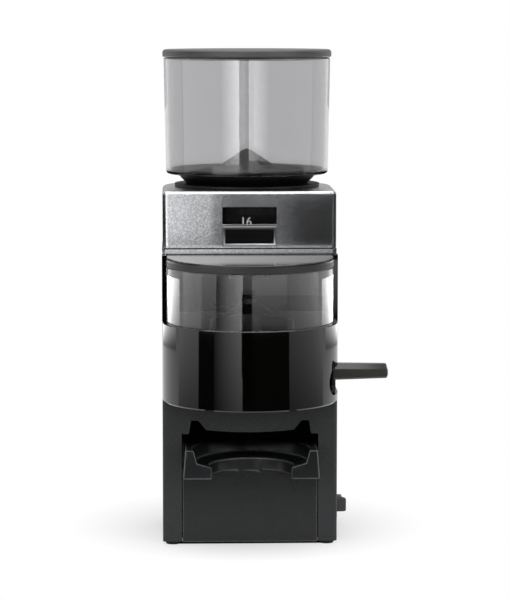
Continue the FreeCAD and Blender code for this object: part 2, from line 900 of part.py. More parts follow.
def make_doser_body():
    z_works = z_mid + doser_plate
    z_works_top = z_metering - doser_plate
    drum = front_half(turned([
        (0, z_mid), (body_half_width - band_edge, z_mid), (body_half_width, z_mid + band_edge),
        (body_half_width, z_band - band_edge / 2), (body_half_width - band_edge / 2, z_band), (0, z_band),
    ], 0, doser_y))
    rear = rear_half(cylinder(rear_radius, z_mid, z_deck_low - fit_gap, 0, doser_y))
    z_mouth = z_mid - funnel_drop
    body = drum.fuse(rear).cut([
        cylinder(chamber_radius, z_metering, z_top, 0, doser_y),
        front_half(cylinder(inner_half, z_window_low, z_top, 0, doser_y)),
        cylinder(chamber_radius - works_wall, z_works, z_works_top, 0, doser_y),
    ])
    funnel = outlet_cone(funnel_top_radius + funnel_wall, funnel_mouth_radius + funnel_wall, z_mouth)
    outlet = cylinder(funnel_top_radius, z_works_top, z_metering, 0, doser_y - outlet_centre)
    cuts = [
        outlet_cone(funnel_top_radius, funnel_mouth_radius, z_mouth),
        outlet,
        cylinder(spindle_radius, z_mid, z_works, 0, doser_y),
        cylinder(star_hub_radius + running_gap, z_works_top, z_metering, 0, doser_y),
        lever_slot(),
    ]
    screw_holes = doser_screw_holes(z_mid, z_mid + doser_screw_depth, small_screw_radius)
    return fused([body, funnel]).cut(cuts + screw_holes)


def make_doser_screws():
    heads = doser_screw_holes(z_plate - small_head_height, z_plate, small_head_radius)
    stems = doser_screw_holes(z_plate, z_mid + doser_screw_depth, small_screw_radius)
    return Part.makeCompound([head.fuse(stem) for head, stem in zip(heads, stems)])


def make_doser_window():
    return front_half(tube(window_radius, chamber_radius, z_window_low, z_window_top, 0, doser_y))


def make_doser_lid():
    radius = window_radius + doser_lid_overhang
    back = cover_front - swing_gap
    disc = front_half(turned([
        (0, z_window_top), (radius, z_window_top), (radius, z_lid_top - doser_lid_edge),
        (radius - doser_lid_edge, z_lid_top), (0, z_lid_top),
    ], 0, doser_y))
    stub_half = rear_radius - doser_lid_edge
    stub = block(-stub_half, stub_half, doser_y, back, z_window_top, z_lid_top)
    lip_radius = chamber_radius - swing_gap
    lip = front_half(tube(lip_radius, lip_radius - doser_lid_lip_wall, z_window_top - doser_lid_lip,
                          z_window_top, 0, doser_y))
    return fused([disc, stub, lip])


def make_doser_spindle():
    return cylinder(spindle_radius, z_mid, z_star_top + star_cone_height + spindle_nut_height, 0, doser_y)


def make_spindle_nut():
    z_low = z_star_top + star_cone_height + swing_gap
    nut = cylinder(spindle_nut_radius, z_low, z_low + spindle_nut_height, 0, doser_y)
    nut = nut.makeFillet(spindle_nut_height / 4, rim_edges(nut, z_low + spindle_nut_height))
    return nut.cut(cylinder(spindle_radius, z_low, z_low + spindle_nut_height, 0, doser_y))


def make_dosing_star():
    tip = chamber_radius - star_tip_gap
    sleeve = cylinder(star_hub_radius, z_ratchet, z_star_top, 0, doser_y)
    cone = turned([(0, z_star), (star_cone_radius, z_star), (star_cone_radius, z_star_top),
                   (star_hub_radius, z_star_top + star_cone_height), (0, z_star_top + star_cone_height)],
                  0, doser_y)
    vane = block(0, tip, doser_y - star_vane / 2, doser_y + star_vane / 2, z_star, z_star_top)
    vane = vane.common(cylinder(tip, z_star, z_star_top, 0, doser_y))
    bore = cylinder(spindle_radius + running_gap, z_mid, z_top, 0, doser_y)
    return fused([sleeve, cone] + around(vane, vane_count, 0.0, 0, doser_y)).cut(bore)


def ratchet_face_angle():
    """Angle at rest of the tooth face that the pawl pushes."""
    return lever_rest_angle - pawl_reach_angle


def make_ratchet_wheel():
    root = ratchet_radius - ratchet_depth
    outline = []
    for tooth in range(tooth_count):
        angle = math.radians(ratchet_face_angle() + 360.0 * tooth / tooth_count)
        for radius in (ratchet_radius, root):
            outline.append((radius * math.cos(angle), doser_y + radius * math.sin(angle)))
    return prism_z(outline, z_ratchet, z_ratchet_top).cut(
        cylinder(star_hub_radius, z_ratchet, z_ratchet_top, 0, doser_y))


def at_rest(solid):
    """Carries a piece drawn along +X from the doser axis to the lever's rest angle."""
    return turned_by(solid.translated(Vector(0, doser_y, 0)), lever_rest_angle, 0, doser_y)


def make_lever_arm():
    half = lever_width / 2
    hub = cylinder(lever_hub_radius, z_hub, z_hub_top)
    arm = block(0, lever_tang_end, -half, half, z_lever - lever_thickness / 2,
                z_lever + lever_thickness / 2)
    pad = cylinder(pawl_eye, z_lever, z_hub_top, pawl_pivot, 0)
    pin = cylinder(pawl_pin_radius, z_hub_top, z_ratchet_top, pawl_pivot, 0)
    bore = cylinder(spindle_radius + running_gap, z_mid, z_hub_top)
    return at_rest(fused([hub, arm, pad, pin]).cut(bore))


def handle_section(x, width, height, inset=0.0):
    """Eight-sided section of the handle, square to the arm."""
    half = width / 2 - inset
    low = z_handle + inset
    high = z_handle + height - inset
    cut = handle_low_chamfer
    slope = handle_top_chamfer
    points = [(-half + cut, low), (half - cut, low), (half, low + cut), (half, high - slope),
              (half - slope, high), (-half + slope, high), (-half, high - slope), (-half, low + cut)]
    corners = [Vector(x, y, z) for y, z in points]
    return Part.makePolygon(corners + corners[:1])


def make_lever_handle():
    grip = Part.makeLoft([
        handle_section(handle_start, handle_root_width, handle_root_height),
        handle_section(handle_end - handle_wall, handle_tip_width, handle_tip_height),
        handle_section(handle_end, handle_tip_width, handle_tip_height, handle_wall),
    ], True, True)
    half = lever_width / 2
    socket = block(handle_start - overshoot, lever_tang_end, -half, half, z_lever - lever_thickness / 2,
                   z_lever + lever_thickness / 2)
    return at_rest(grip.cut(socket))


def make_pawl():
    def polar(radius, angle):
        return (radius * math.cos(math.radians(angle)), radius * math.sin(math.radians(angle)))

    root = ratchet_radius - ratchet_depth + swing_gap
    gap_angle = math.degrees(pawl_gap / root)
    tip = -pawl_reach_angle + gap_angle
    heel = (pawl_pivot - pawl_eye / 2, pawl_eye / 2)
    toe = (pawl_pivot, -pawl_eye)
    beak = prism_z([polar(root, tip), polar(ratchet_radius + ratchet_depth, tip), toe, heel],
                   z_ratchet, z_ratchet_top)
    eye = cylinder(pawl_eye, z_ratchet, z_ratchet_top, pawl_pivot, 0)
    bore = cylinder(pawl_pin_radius + running_gap, z_ratchet, z_ratchet_top, pawl_pivot, 0)
    return at_rest(beak.fuse(eye).cut(bore))


def make_lever_spring():
    """Return spring about the spindle below the lever hub, wound from half turns that climb to and fro."""
    climb = spring_pitch / 2
    z_low = z_mid + doser_plate + spring_wire + running_gap
    halves = []
    for half_turn in range(2 * turn_count):
        side = 1 if half_turn % 2 == 0 else -1
        start = Vector(side * spring_radius, doser_y, z_low + half_turn * climb)
        centre = Vector(0, doser_y, start.z + climb / 2)
        section = Part.Face(Part.Wire(Part.makeCircle(spring_wire, start, Vector(0, 1, 0))))
        halves.append(section.revolve(centre, Vector(side * climb, 0, 2 * spring_radius), 180))
    return fused(halves)


def make_burr_chamber():
    lugs = around(cylinder(lug_radius, z_deck, z_deck + lug_height, lug_circle, 0), lug_count, 90.0)
    body = fused([cylinder(chamber_outer, z_deck, z_chamber_top)] + lugs)
    lug_holes = around(cylinder(lug_screw_radius + fit_gap, z_deck, z_deck + lug_height, lug_circle, 0),
                       lug_count, 90.0)
    cuts = [
        cylinder(bearing_radius, z_deck, z_deck + bearing_height),
        cylinder(shaft_radius + swing_gap, z_deck, z_chamber_floor),
        cylinder(grind_radius, z_chamber_floor, z_thread),
        cylinder(thread_radius, z_thread, z_chamber_top),
        chute_block(port_half_width, 0, -chamber_outer - overshoot, 0),
    ]
    return body.cut(cuts + lug_holes)


def make_chamber_bearing():
    return bearing(z_deck)


def make_chamber_screws():
    seat = z_deck + lug_height
    screw = cylinder(lug_screw_radius, z_deck_low, seat, lug_circle, 0).fuse(
        cylinder(lug_head_radius, seat, seat + lug_head_height, lug_circle, 0))
    screw = screw.cut(cylinder(chamber_outer, z_deck_low, z_chamber_top))
    return Part.makeCompound(around(screw, lug_count, 90.0))


def make_grounds_chute():
    front = bulkhead_y - chute_reach
    duct = chute_block(port_half_width + chute_wall, chute_wall, front, 0)
    duct = duct.cut(chute_block(port_half_width, 0, front, 0))
    return duct.cut(cylinder(chamber_outer, z_deck, z_chamber_top))


def burr_screw_holes(radius, z_low, z_high):
    return around(cylinder(radius, z_low, z_high, burr_screw_circle, 0), burr_screw_count)


def lower_burr():
    burr = turned([
        (burr_bore, z_lower_burr), (burr_radius, z_lower_burr), (burr_radius, z_burr_face),
        (burr_bore + burr_bevel, z_burr_face), (burr_bore, z_burr_face - burr_bevel),
    ])
    groove = block(burr_bore - overshoot, burr_radius + overshoot, 0, groove_width,
                   z_burr_face - groove_depth, z_burr_face)
    sinks = burr_screw_holes(burr_head_radius, z_burr_face - groove_depth - burr_head_height, z_burr_face)
    holes = burr_screw_holes(burr_screw_radius, z_lower_burr, z_burr_face)
    return burr.cut(around(groove, groove_count) + sinks + holes)


def lower_screws():
    z_seat_face = z_burr_face - groove_depth - burr_head_height
    depth = z_lower_burr - carrier_height / 2
    screw = cylinder(burr_screw_radius, depth, z_seat_face, burr_screw_circle, 0).fuse(
        cylinder(burr_head_radius, z_seat_face, z_seat_face + burr_head_height, burr_screw_circle, 0))
    return Part.makeCompound(around(screw, burr_screw_count))


def across_burr_gap(shape):
    """The same piece facing it from above the grinding gap."""
    return shape.mirror(Vector(0, 0, z_burr_face + burr_gap / 2), Vector(0, 0, 1))


def make_lower_burr():
    return lower_burr()


def make_upper_burr():
    return across_burr_gap(lower_burr())


def make_lower_burr_screws():
    return lower_screws()


def make_upper_burr_screws():
    return across_burr_gap(lower_screws())


def make_lower_burr_carrier():
    disc = cylinder(carrier_radius, z_carrier, z_lower_burr)
    half = sweeper_width / 2
    paddle = block(0, grind_radius - sweeper_gap, -half, half, z_carrier, z_lower_burr)
    disc = fused([disc] + around(paddle, sweeper_count))
    holes = burr_screw_holes(burr_screw_radius, z_lower_burr - carrier_height / 2, z_lower_burr)
    return disc.cut(holes + [cylinder(shaft_radius, z_carrier, z_lower_burr)])


def make_shaft_nut():
    hexagon = [(shaft_nut_radius * math.cos(math.radians(60 * i)),
                shaft_nut_radius * math.sin(math.radians(60 * i))) for i in range(6)]
    nut = prism_z(hexagon, z_lower_burr, z_lower_burr + shaft_nut_height)
    return nut.cut(cylinder(shaft_radius, z_lower_burr, z_lower_burr + shaft_nut_height))


def make_motor_shaft():
    tip = z_lower_burr + shaft_nut_height + shaft_tip
    shaft = cylinder(shaft_radius, z_shaft, tip)
    return shaft.makeChamfer(shaft_tip / 2, rim_edges(shaft, tip))


def make_rotor_core():
    return tube(stator_bore - air_gap, shaft_radius, stator_low, stator_top)


def make_cooling_fan():
    z_high = z_shaft + fan_height
    plate = cylinder(fan_radius, z_high - fan_plate, z_high)
    hub = cylinder(fan_hub_radius, z_shaft, z_high)
    blade = block(0, fan_radius, -fan_blade / 2, fan_blade / 2, z_shaft, z_high)
    blade = blade.common(cylinder(fan_radius, z_shaft, z_high))
    return fused([plate, hub] + around(blade, blade_count)).cut(cylinder(shaft_radius, z_shaft, z_high))


def make_burr_carrier():
    """Upper burr carrier: threaded plug with a bean throat and dogs that the collar turns."""
    thread = thread_radius - thread_gap
    z_rim = z_dog + dog_height
    body = turned([
        (upper_carrier_bore, z_upper_carrier), (thread, z_upper_carrier), (thread, z_rim),
        (upper_carrier_rim, z_rim), (upper_carrier_bore, z_upper_carrier + upper_carrier_rise),
    ])
    dog = block(upper_carrier_rim, thread_radius + dog_reach, -dog_width / 2, dog_width / 2, z_dog, z_rim)
    holes = burr_screw_holes(burr_screw_radius, z_upper_carrier, z_upper_carrier + carrier_height / 2)
    return fused([body] + around(dog, dog_count)).cut(holes)


def make_adjusting_collar():
    z_cone = z_flange + flange_thickness
    cone_top = collar_outer + cone_spread
    collar = turned([
        (collar_bore, z_seat), (chamber_outer + collar_gap, z_seat), (chamber_outer + collar_gap, z_collar),
        (collar_outer, z_collar), (collar_outer, z_flange), (flange_radius, z_flange),
        (flange_radius, z_cone), (collar_outer - cone_waist, z_cone), (cone_top, z_cone + cone_rise),
        (cone_top + collar_flare, z_hopper), (collar_bore, z_hopper),
    ])
    half = dog_width / 2 + dog_gap
    slot = block(0, collar_outer + overshoot, -half, half, z_collar - overshoot,
                 z_dog + dog_height + dog_travel)
    return collar.cut(around(slot, dog_count))


def make_number_ring():
    ring = turned([
        (collar_outer, ring_high - ring_web), (ring_radius - ring_wall, ring_high - ring_web),
        (ring_radius - ring_wall, ring_low), (ring_radius, ring_low), (ring_radius, ring_high),
        (collar_outer, ring_high),
    ])
    return ring.cut(around(cylinder(click_radius, ring_low, ring_high, click_circle, 0), click_count))


def make_click_spring():
    """Leaf fixed to the back of the burr chamber whose pin clicks in the number ring's holes."""
    half = click_arm_half_width
    z_pin = ring_high - ring_web - click_gap
    z_leaf = z_pin - click_pin_length
    z_low = z_chamber_top - collar_skirt - click_foot
    outer = click_circle + click_radius
    foot = block(-half, half, 0, outer, z_low, z_low + click_arm_thickness)
    foot = foot.cut(cylinder(chamber_outer, z_deck, z_chamber_top))
    leaf = block(-half, half, outer - click_arm_thickness, outer, z_low, z_leaf)
    pad = block(-half, half, outer - 2 * click_radius, outer, z_leaf - click_arm_thickness, z_leaf)
    pin = cylinder(click_radius - fit_gap, z_leaf, z_pin, 0, click_circle)
    flange = block(-half, half, 0, chamber_outer + click_arm_thickness, z_low, z_low + click_foot / 2)
    flange = flange.cut(cylinder(chamber_outer, z_deck, z_chamber_top))
    return fused([foot, flange, leaf, pad, pin])


def make_hopper():
    z_neck_low = z_hopper - hopper_neck
    inner_neck = neck_radius - hopper_wall
    return turned([
        (inner_neck, z_neck_low), (neck_radius, z_neck_low), (neck_radius, z_hopper),
        (hopper_low_radius - hopper_corner, z_hopper), (hopper_low_radius, z_hopper + hopper_corner),
        (hopper_high_radius, z_hopper_top), (hopper_high_radius - hopper_wall, z_hopper_top),
        (hopper_low_radius - hopper_wall, z_hopper + hopper_corner),
        (hopper_low_radius - hopper_wall - hopper_corner / 3, z_hopper_floor), (inner_neck, z_hopper_floor),
    ])


def make_bean_guard():
    """Finger guard on the hopper floor: a flat ring with a windowed cone over the throat."""
    z_low = z_hopper_floor
    z_plate_top = z_low + guard_thickness
    z_foot = z_low + guard_cone_foot
    z_tip = z_foot + guard_cone_rise
    guard = turned([
        (0, z_tip - guard_thickness), (guard_cone_radius - guard_thickness, z_low), (guard_radius, z_low),
        (guard_radius, z_plate_top), (guard_cone_radius + guard_thickness, z_plate_top),
        (guard_cone_radius, z_foot), (guard_tip_radius, z_tip - guard_tip_radius / 3), (0, z_tip),
    ])
    window = wedge(guard_window_inner, guard_window_outer, z_low, z_tip, -guard_window_half_angle,
                   guard_window_half_angle)
    return guard.cut(around(window, guard_window_count, 90.0))


def make_hopper_lid():
    z_low = z_hopper_top + hopper_lid_gap
    z_high = z_low + hopper_lid_thickness
    radius = hopper_lid_radius
    lip = hopper_high_radius - hopper_wall - swing_gap
    return turned([
        (0, z_low), (lip - hopper_lid_lip_wall, z_low), (lip - hopper_lid_lip_wall, z_low - hopper_lid_lip),
        (lip, z_low - hopper_lid_lip), (lip, z_low), (radius, z_low), (radius, z_high - hopper_lid_edge),
        (radius - hopper_lid_edge, z_high), (0, z_high),
    ])


def make_top_cover():
    outer = column(cover_half_width, cover_front, z_neck, z_top, cover_corner)
    outer = outer.makeFillet(cover_edge, rim_edges(outer, z_top))
    foot = column(cover_half_width + cover_lip, cover_front - cover_lip, z_neck, z_neck + cover_foot,
                  cover_corner)
    shell = outer.fuse(foot).cut(
        column(cover_inner_half, cover_front + cover_wall, z_neck, z_top - cover_wall))
    dial = block(-dial_half_width, dial_half_width, cover_front - overshoot,
                 cover_front + cover_wall + overshoot, dial_low, dial_high)
    plate_seat = block(-dial_half_width, dial_half_width, cover_front - overshoot,
                       cover_front + plate_recess, plate_low, plate_high)
    hole = cylinder(cover_hole, z_neck, z_top)
    z_groove = z_neck + cover_foot
    core = column(cover_half_width - cover_groove_depth, cover_front + cover_groove_depth, z_neck, z_top,
                  cover_corner - cover_groove_depth)
    groove = column(cover_half_width + overshoot, cover_front - overshoot, z_groove,
                    z_groove + cover_groove).cut(core)
    screws = [cover_screw_rod(cover_screw_radius + fit_gap, 0, body_half_width + overshoot, angle)
              for angle in cover_tab_angles()]
    return shell.cut([dial, plate_seat, hole, groove] + screws)


def make_cover_screws():
    seat = cover_half_width + cover_lip
    return Part.makeCompound([
        cover_screw_rod(cover_screw_radius, seat - cover_screw_length, seat, angle).fuse(
            cover_screw_rod(cover_head_radius, seat, seat + cover_head_height, angle))
        for angle in cover_tab_angles()
    ])


def make_name_plate():
    y = cover_front + plate_recess
    return block(-dial_half_width + fit_gap, dial_half_width - fit_gap, y - plate_sheet, y,
                 plate_low + fit_gap, plate_high - fit_gap)


def make_dial_lens():
    y = cover_front + cover_wall
    half = dial_half_width + lens_margin
    return block(-half, half, y, y + lens_thickness, dial_low - lens_margin, dial_high + lens_margin)


makers = {
    "rubber_feet": make_rubber_feet,
    "base_plate": make_base_plate,
    "case_screws": make_case_screws,
    "lower_housing": make_lower_housing,
    "fork_panel": make_fork_panel,
    "fork_screws": make_fork_screws,
    "motor_plate": make_motor_plate,
    "motor_stator": make_stator,
    "motor_windings": make_windings,
    "upper_bracket": make_upper_bracket,
    "lower_bracket": make_lower_bracket,
    "motor_bearings": make_motor_bearings,
    "motor_bolts": make_motor_bolts,
    "capacitor": make_capacitor,
    "capacitor_clip": make_capacitor_clip,
    "switch_body": make_switch_body,
    "switch_rocker": make_switch_rocker,
    "cord_inlet": make_cord_inlet,
    "upper_housing": make_upper_housing,
    "doser_body": make_doser_body,
    "doser_screws": make_doser_screws,
    "doser_window": make_doser_window,
    "doser_lid": make_doser_lid,
    "doser_spindle": make_doser_spindle,
    "spindle_nut": make_spindle_nut,
    "dosing_star": make_dosing_star,
    "ratchet_wheel": make_ratchet_wheel,
    "lever_arm": make_lever_arm,
    "lever_handle": make_lever_handle,
    "lever_spring": make_lever_spring,
    "pawl": make_pawl,
    "burr_chamber": make_burr_chamber,
    "chamber_bearing": make_chamber_bearing,
    "chamber_screws": make_chamber_screws,
    "grounds_chute": make_grounds_chute,
    "lower_burr": make_lower_burr,
    "lower_burr_screws": make_lower_burr_screws,
    "lower_burr_carrier": make_lower_burr_carrier,
    "shaft_nut": make_shaft_nut,
    "motor_shaft": make_motor_shaft,
    "rotor_core": make_rotor_core,
    "cooling_fan": make_cooling_fan,
    "burr_carrier": make_burr_carrier,
    "upper_burr": make_upper_burr,
    "upper_burr_screws": make_upper_burr_screws,
    "adjusting_collar": make_adjusting_collar,
    "number_ring": make_number_ring,
    "click_spring": make_click_spring,
    "hopper": make_hopper,
    "bean_guard": make_bean_guard,
    "hopper_lid": make_hopper_lid,
    "top_cover": make_top_cover,
    "cover_screws": make_cover_screws,
    "name_plate": make_name_plate,
    "dial_lens": make_dial_lens,
}

os.makedirs("parts", exist_ok=True)
for node, make in makers.items():
    shape = make()
    shape.exportStep(os.path.join("parts", node + ".step"))
    print(node, len(shape.Solids), "solids", round(shape.Volume, 1), "mm3", "valid", shape.isValid())
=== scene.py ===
"""Looks of an upright burr coffee grinder with a lever doser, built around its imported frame.

Turned, swept and printed pieces are numpy surfaces that stand for the solids whose edges they round. The
other solids keep their shape and get a finish. Lengths are metres, angles degrees, and the doser faces -Y.
"""
import logging
import math
from dataclasses import dataclass
from enum import Enum
from typing import Dict, List, Optional, Sequence, Tuple, Union

import bmesh
import bpy
import numpy as np
from mathutils import Euler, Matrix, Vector


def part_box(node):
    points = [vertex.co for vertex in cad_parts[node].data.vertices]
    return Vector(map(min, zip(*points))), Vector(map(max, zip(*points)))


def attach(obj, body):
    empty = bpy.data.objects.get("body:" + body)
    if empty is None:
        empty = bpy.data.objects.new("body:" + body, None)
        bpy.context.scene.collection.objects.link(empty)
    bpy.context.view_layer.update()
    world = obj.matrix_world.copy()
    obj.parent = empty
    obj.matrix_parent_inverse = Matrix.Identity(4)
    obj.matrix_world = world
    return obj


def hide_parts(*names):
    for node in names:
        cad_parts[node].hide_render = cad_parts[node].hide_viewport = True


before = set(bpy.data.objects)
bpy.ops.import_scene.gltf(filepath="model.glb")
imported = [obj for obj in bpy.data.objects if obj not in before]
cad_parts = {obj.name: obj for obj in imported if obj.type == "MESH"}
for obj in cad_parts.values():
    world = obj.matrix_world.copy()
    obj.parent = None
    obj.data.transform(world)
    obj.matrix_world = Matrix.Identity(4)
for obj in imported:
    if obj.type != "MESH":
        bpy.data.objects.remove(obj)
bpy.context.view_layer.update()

MM = 0.001
Point = Tuple[float, float, float]
Key = Union[str, int]
Value = Union[float, Sequence[float], "Signal"]
log = logging.getLogger("grinder")


class Signal:
    """Output of a shader node that takes part in Python arithmetic."""

    def __init__(self, tree: "ShaderTree", socket: bpy.types.NodeSocket) -> None:
        """Keeps the tree and the socket that the value comes from."""
        self.tree = tree
        self.socket = socket

    def _math(self, operation: str, first: Value, second: Value) -> "Signal":
        """One Math node on two values."""
        return self.tree.add("ShaderNodeMath", {"operation": operation}, {0: first, 1: second})

    def __add__(self, other: Value) -> "Signal":
        """Sum."""
        return self._math("ADD", self, other)

    def __radd__(self, other: Value) -> "Signal":
        """Sum with a number on the left."""
        return self._math("ADD", other, self)

    def __sub__(self, other: Value) -> "Signal":
        """Difference."""
        return self._math("SUBTRACT", self, other)

    def __rsub__(self, other: Value) -> "Signal":
        """Difference from a number on the left."""
        return self._math("SUBTRACT", other, self)

    def __mul__(self, other: Value) -> "Signal":
        """Product."""
        return self._math("MULTIPLY", self, other)

    def __rmul__(self, other: Value) -> "Signal":
        """Product with a number on the left."""
        return self._math("MULTIPLY", other, self)

    def most(self, other: Value) -> "Signal":
        """The larger of two values."""
        return self._math("MAXIMUM", self, other)


class ShaderTree:
    """Node tree of a material or a world, filled through one generic method."""

    def __init__(self, tree: bpy.types.NodeTree) -> None:
        """Empties the tree."""
        self.tree = tree
        tree.nodes.clear()

    def add(self, kind: str, settings: Dict[str, object], inputs: Dict[Key, Value],
            output: Key = 0) -> Signal:
        """Adds a node, first its settings and then its sockets.

        Args:
            kind: the node's Blender type.
            settings: attributes of the node; "stops" sets a ramp's positions and grey levels.
            inputs: socket name or number to a number, a colour or a signal.
            output: name or number of the output that is returned.

        Returns:
            The output as a signal.
        """
        node = self.tree.nodes.new(kind)
        for name, value in settings.items():
            if name == "stops":
                for element, (place, level) in zip(node.color_ramp.elements, value):
                    element.position = place
                    element.color = (level, level, level, 1.0)
            else:
                setattr(node, name, value)
        for key, value in inputs.items():
            if isinstance(value, Signal):
                self.tree.links.new(value.socket, node.inputs[key])
            else:
                node.inputs[key].default_value = value
        outputs = node.outputs
        return Signal(self, outputs[output]) if len(outputs) else Signal(self, node.inputs[0])

    def place(self) -> Signal:
        """Object coordinates, in metres."""
        return self.add("ShaderNodeTexCoord", {}, {}, "Object")

    def stretched(self, scale: Point) -> Signal:
        """Object coordinates times a scale on each axis."""
        return self.add("ShaderNodeMapping", {}, {"Vector": self.place(), "Scale": scale})

    def noise(self, where: Signal, scale: float, detail: float) -> Signal:
        """Cloud noise from 0 to 1, with this many cells a metre."""
        return self.add("ShaderNodeTexNoise", {}, {"Vector": where, "Scale": scale, "Detail": detail}, "Fac")

    def blend(self, share: Value, first: Value, second: Value) -> Signal:
        """Colour between two colours."""
        return self.add("ShaderNodeMix", {"data_type": "RGBA"}, {0: share, 6: first, 7: second}, 2)

    def bump(self, height: Signal, depth: float) -> Signal:
        """Normal of a relief whose height runs from 0 to 1 over this depth in metres."""
        return self.add("ShaderNodeBump", {}, {"Strength": 1.0, "Distance": depth, "Height": height})


class Texture(Enum):
    """What the surface of a finish shows close up."""

    MOULDED = "fine moulded grain"
    HAMMERED = "hammered paint"
    BRUSHED = "fine lines round the vertical axis"
    LAYERED = "stacked sheets"
    WOUND = "wire side by side"
    CAST = "sand cast skin"


# Hammered paint: shares of its cells and fine noise, how much finer the noise is, how soft the cells.
HAMMER_CELLS = 0.55
HAMMER_NOISE = 0.6
HAMMER_FINER = 2.3
HAMMER_SOFT = 0.6
# How far noise is squeezed on each axis to make lines, and how far bands waver.
BRUSH_SQUEEZE = (0.04, 0.04, 1.0)
BAND_WAVER = 0.4
# Octaves of the noise of plain skins, of lines and fine hammering, and of the slow drift.
SKIN_DETAIL = 3.0
FINE_DETAIL = 2.0
SLOW_DETAIL = 4.0
# Middle of a noise from 0 to 1.
MIDDLE = 0.5


@dataclass(frozen=True)
class Finish:
    """A surface finish and the relief that breaks it up.

    The colour runs between shade and 1 times itself. A slow noise and the relief's own height set where, in
    the shares that speckle gives and spread about their middle by contrast. The roughness drifts with the
    slow noise.
    """

    name: str
    slot: str
    colour: Point
    roughness: float
    texture: Texture
    cells: float
    depth: float
    metallic: float = 0.0
    refraction: float = 1.47
    transmission: float = 0.0
    coat: float = 0.0
    shade: float = 0.8
    speckle: float = 0.3
    contrast: float = 1.0
    drift: float = 0.05
    drift_cells: float = 60.0

    def relief(self, tree: ShaderTree) -> Signal:
        """Height of the surface from 0 to 1.

        Args:
            tree: the material's tree.

        Returns:
            The height: noise for grain, rounded cells for hammering, noise squeezed along one axis for
            lines, and sine bands for sheets and wire.
        """
        place = tree.place()
        if self.texture is Texture.HAMMERED:
            cells = tree.add("ShaderNodeTexVoronoi", {"feature": "SMOOTH_F1"},
                             {"Vector": place, "Scale": self.cells, "Smoothness": HAMMER_SOFT}, "Distance")
            fine = tree.noise(place, HAMMER_FINER * self.cells, FINE_DETAIL)
            return HAMMER_CELLS * cells + HAMMER_NOISE * fine
        if self.texture is Texture.BRUSHED:
            return tree.noise(tree.stretched(BRUSH_SQUEEZE), self.cells, FINE_DETAIL)
        if self.texture in (Texture.LAYERED, Texture.WOUND):
            bands = {"wave_type": "BANDS", "bands_direction": "Z"}
            return tree.add("ShaderNodeTexWave", bands,
                            {"Vector": place, "Scale": self.cells, "Distortion": BAND_WAVER}, "Fac")
        return tree.noise(place, self.cells, SKIN_DETAIL)

    def tint(self, tree: ShaderTree, share: Signal) -> Signal:
        """Colour of the surface, from shade times the colour up to the colour itself as the share grows."""
        dark = tuple(self.shade * c for c in self.colour)
        return tree.blend(share, (*dark, 1.0), (*self.colour, 1.0))

    def metal(self, tree: ShaderTree) -> Value:
        """How far the surface is metal."""
        return self.metallic

    def matt(self, tree: ShaderTree, slow: Signal) -> Signal:
        """Roughness, drifting with the slow noise."""
        return self.roughness + self.drift * (slow - MIDDLE)

    def material(self) -> bpy.types.Material:
        """The finish as a material, made once."""
        title = "finish_" + self.name
        ready = bpy.data.materials.get(title)
        if ready:
            return ready
        made = bpy.data.materials.new(title)
        made.use_nodes = True
        tree = ShaderTree(made.node_tree)
        slow = tree.noise(tree.place(), self.drift_cells, SLOW_DETAIL)
        height = self.relief(tree)
        mottle = (1.0 - self.speckle) * slow + self.speckle * height
        shader = tree.add("ShaderNodeBsdfPrincipled", {}, {
            "Base Color": self.tint(tree, MIDDLE + self.contrast * (mottle - MIDDLE)),
            "Roughness": self.matt(tree, slow),
            "Normal": tree.bump(height, self.depth),
            "Metallic": self.metal(tree),
            "IOR": self.refraction,
            "Transmission Weight": self.transmission,
            "Coat Weight": self.coat,
        })
        tree.add("ShaderNodeOutputMaterial", {}, {"Surface": shader})
        return made


@dataclass(frozen=True)
class BandedFinish(Finish):
    """A finish that changes between two places: a seam, painted shade in a deep pocket, or thick plastic
    seen edge on.

    Places are measured along a direction, as the dot product with it. The band's share is one ramp up at its
    low end times one less a ramp up at its high end. A black metal band takes hardly any light.
    """

    along: Point = (0.0, 0.0, 1.0)
    band_low: float = 0.0
    band_high: float = 0.0
    band_colour: Point = (0.0, 0.0, 0.0)
    band_metallic: float = 0.0
    band_matt: float = 0.0
    band_soft: float = 0.2 * MM

    def ramp(self, tree: ShaderTree, place: Signal, middle: float) -> Signal:
        """Smooth step from 0 to 1 round a place."""
        return tree.add("ShaderNodeMapRange", {"interpolation_type": "SMOOTHSTEP"}, {
            "Value": place, "From Min": middle - self.band_soft, "From Max": middle + self.band_soft})

    def inside(self, tree: ShaderTree) -> Signal:
        """Share of the band, from 0 to 1."""
        place = tree.add("ShaderNodeVectorMath", {"operation": "DOT_PRODUCT"},
                         {0: tree.place(), 1: self.along}, "Value")
        return self.ramp(tree, place, self.band_low) * (1.0 - self.ramp(tree, place, self.band_high))

    def tint(self, tree: ShaderTree, share: Signal) -> Signal:
        """Colour of the surface, with the band's colour inside the band."""
        return tree.blend(self.inside(tree), super().tint(tree, share), (*self.band_colour, 1.0))

    def metal(self, tree: ShaderTree) -> Value:
        """How far the surface is metal, inside the band and outside it."""
        return self.metallic + (self.band_metallic - self.metallic) * self.inside(tree)

    def matt(self, tree: ShaderTree, slow: Signal) -> Signal:
        """Roughness, with the band's own added inside the band."""
        return super().matt(tree, slow) + self.band_matt * self.inside(tree)


GRAIN = Texture.MOULDED
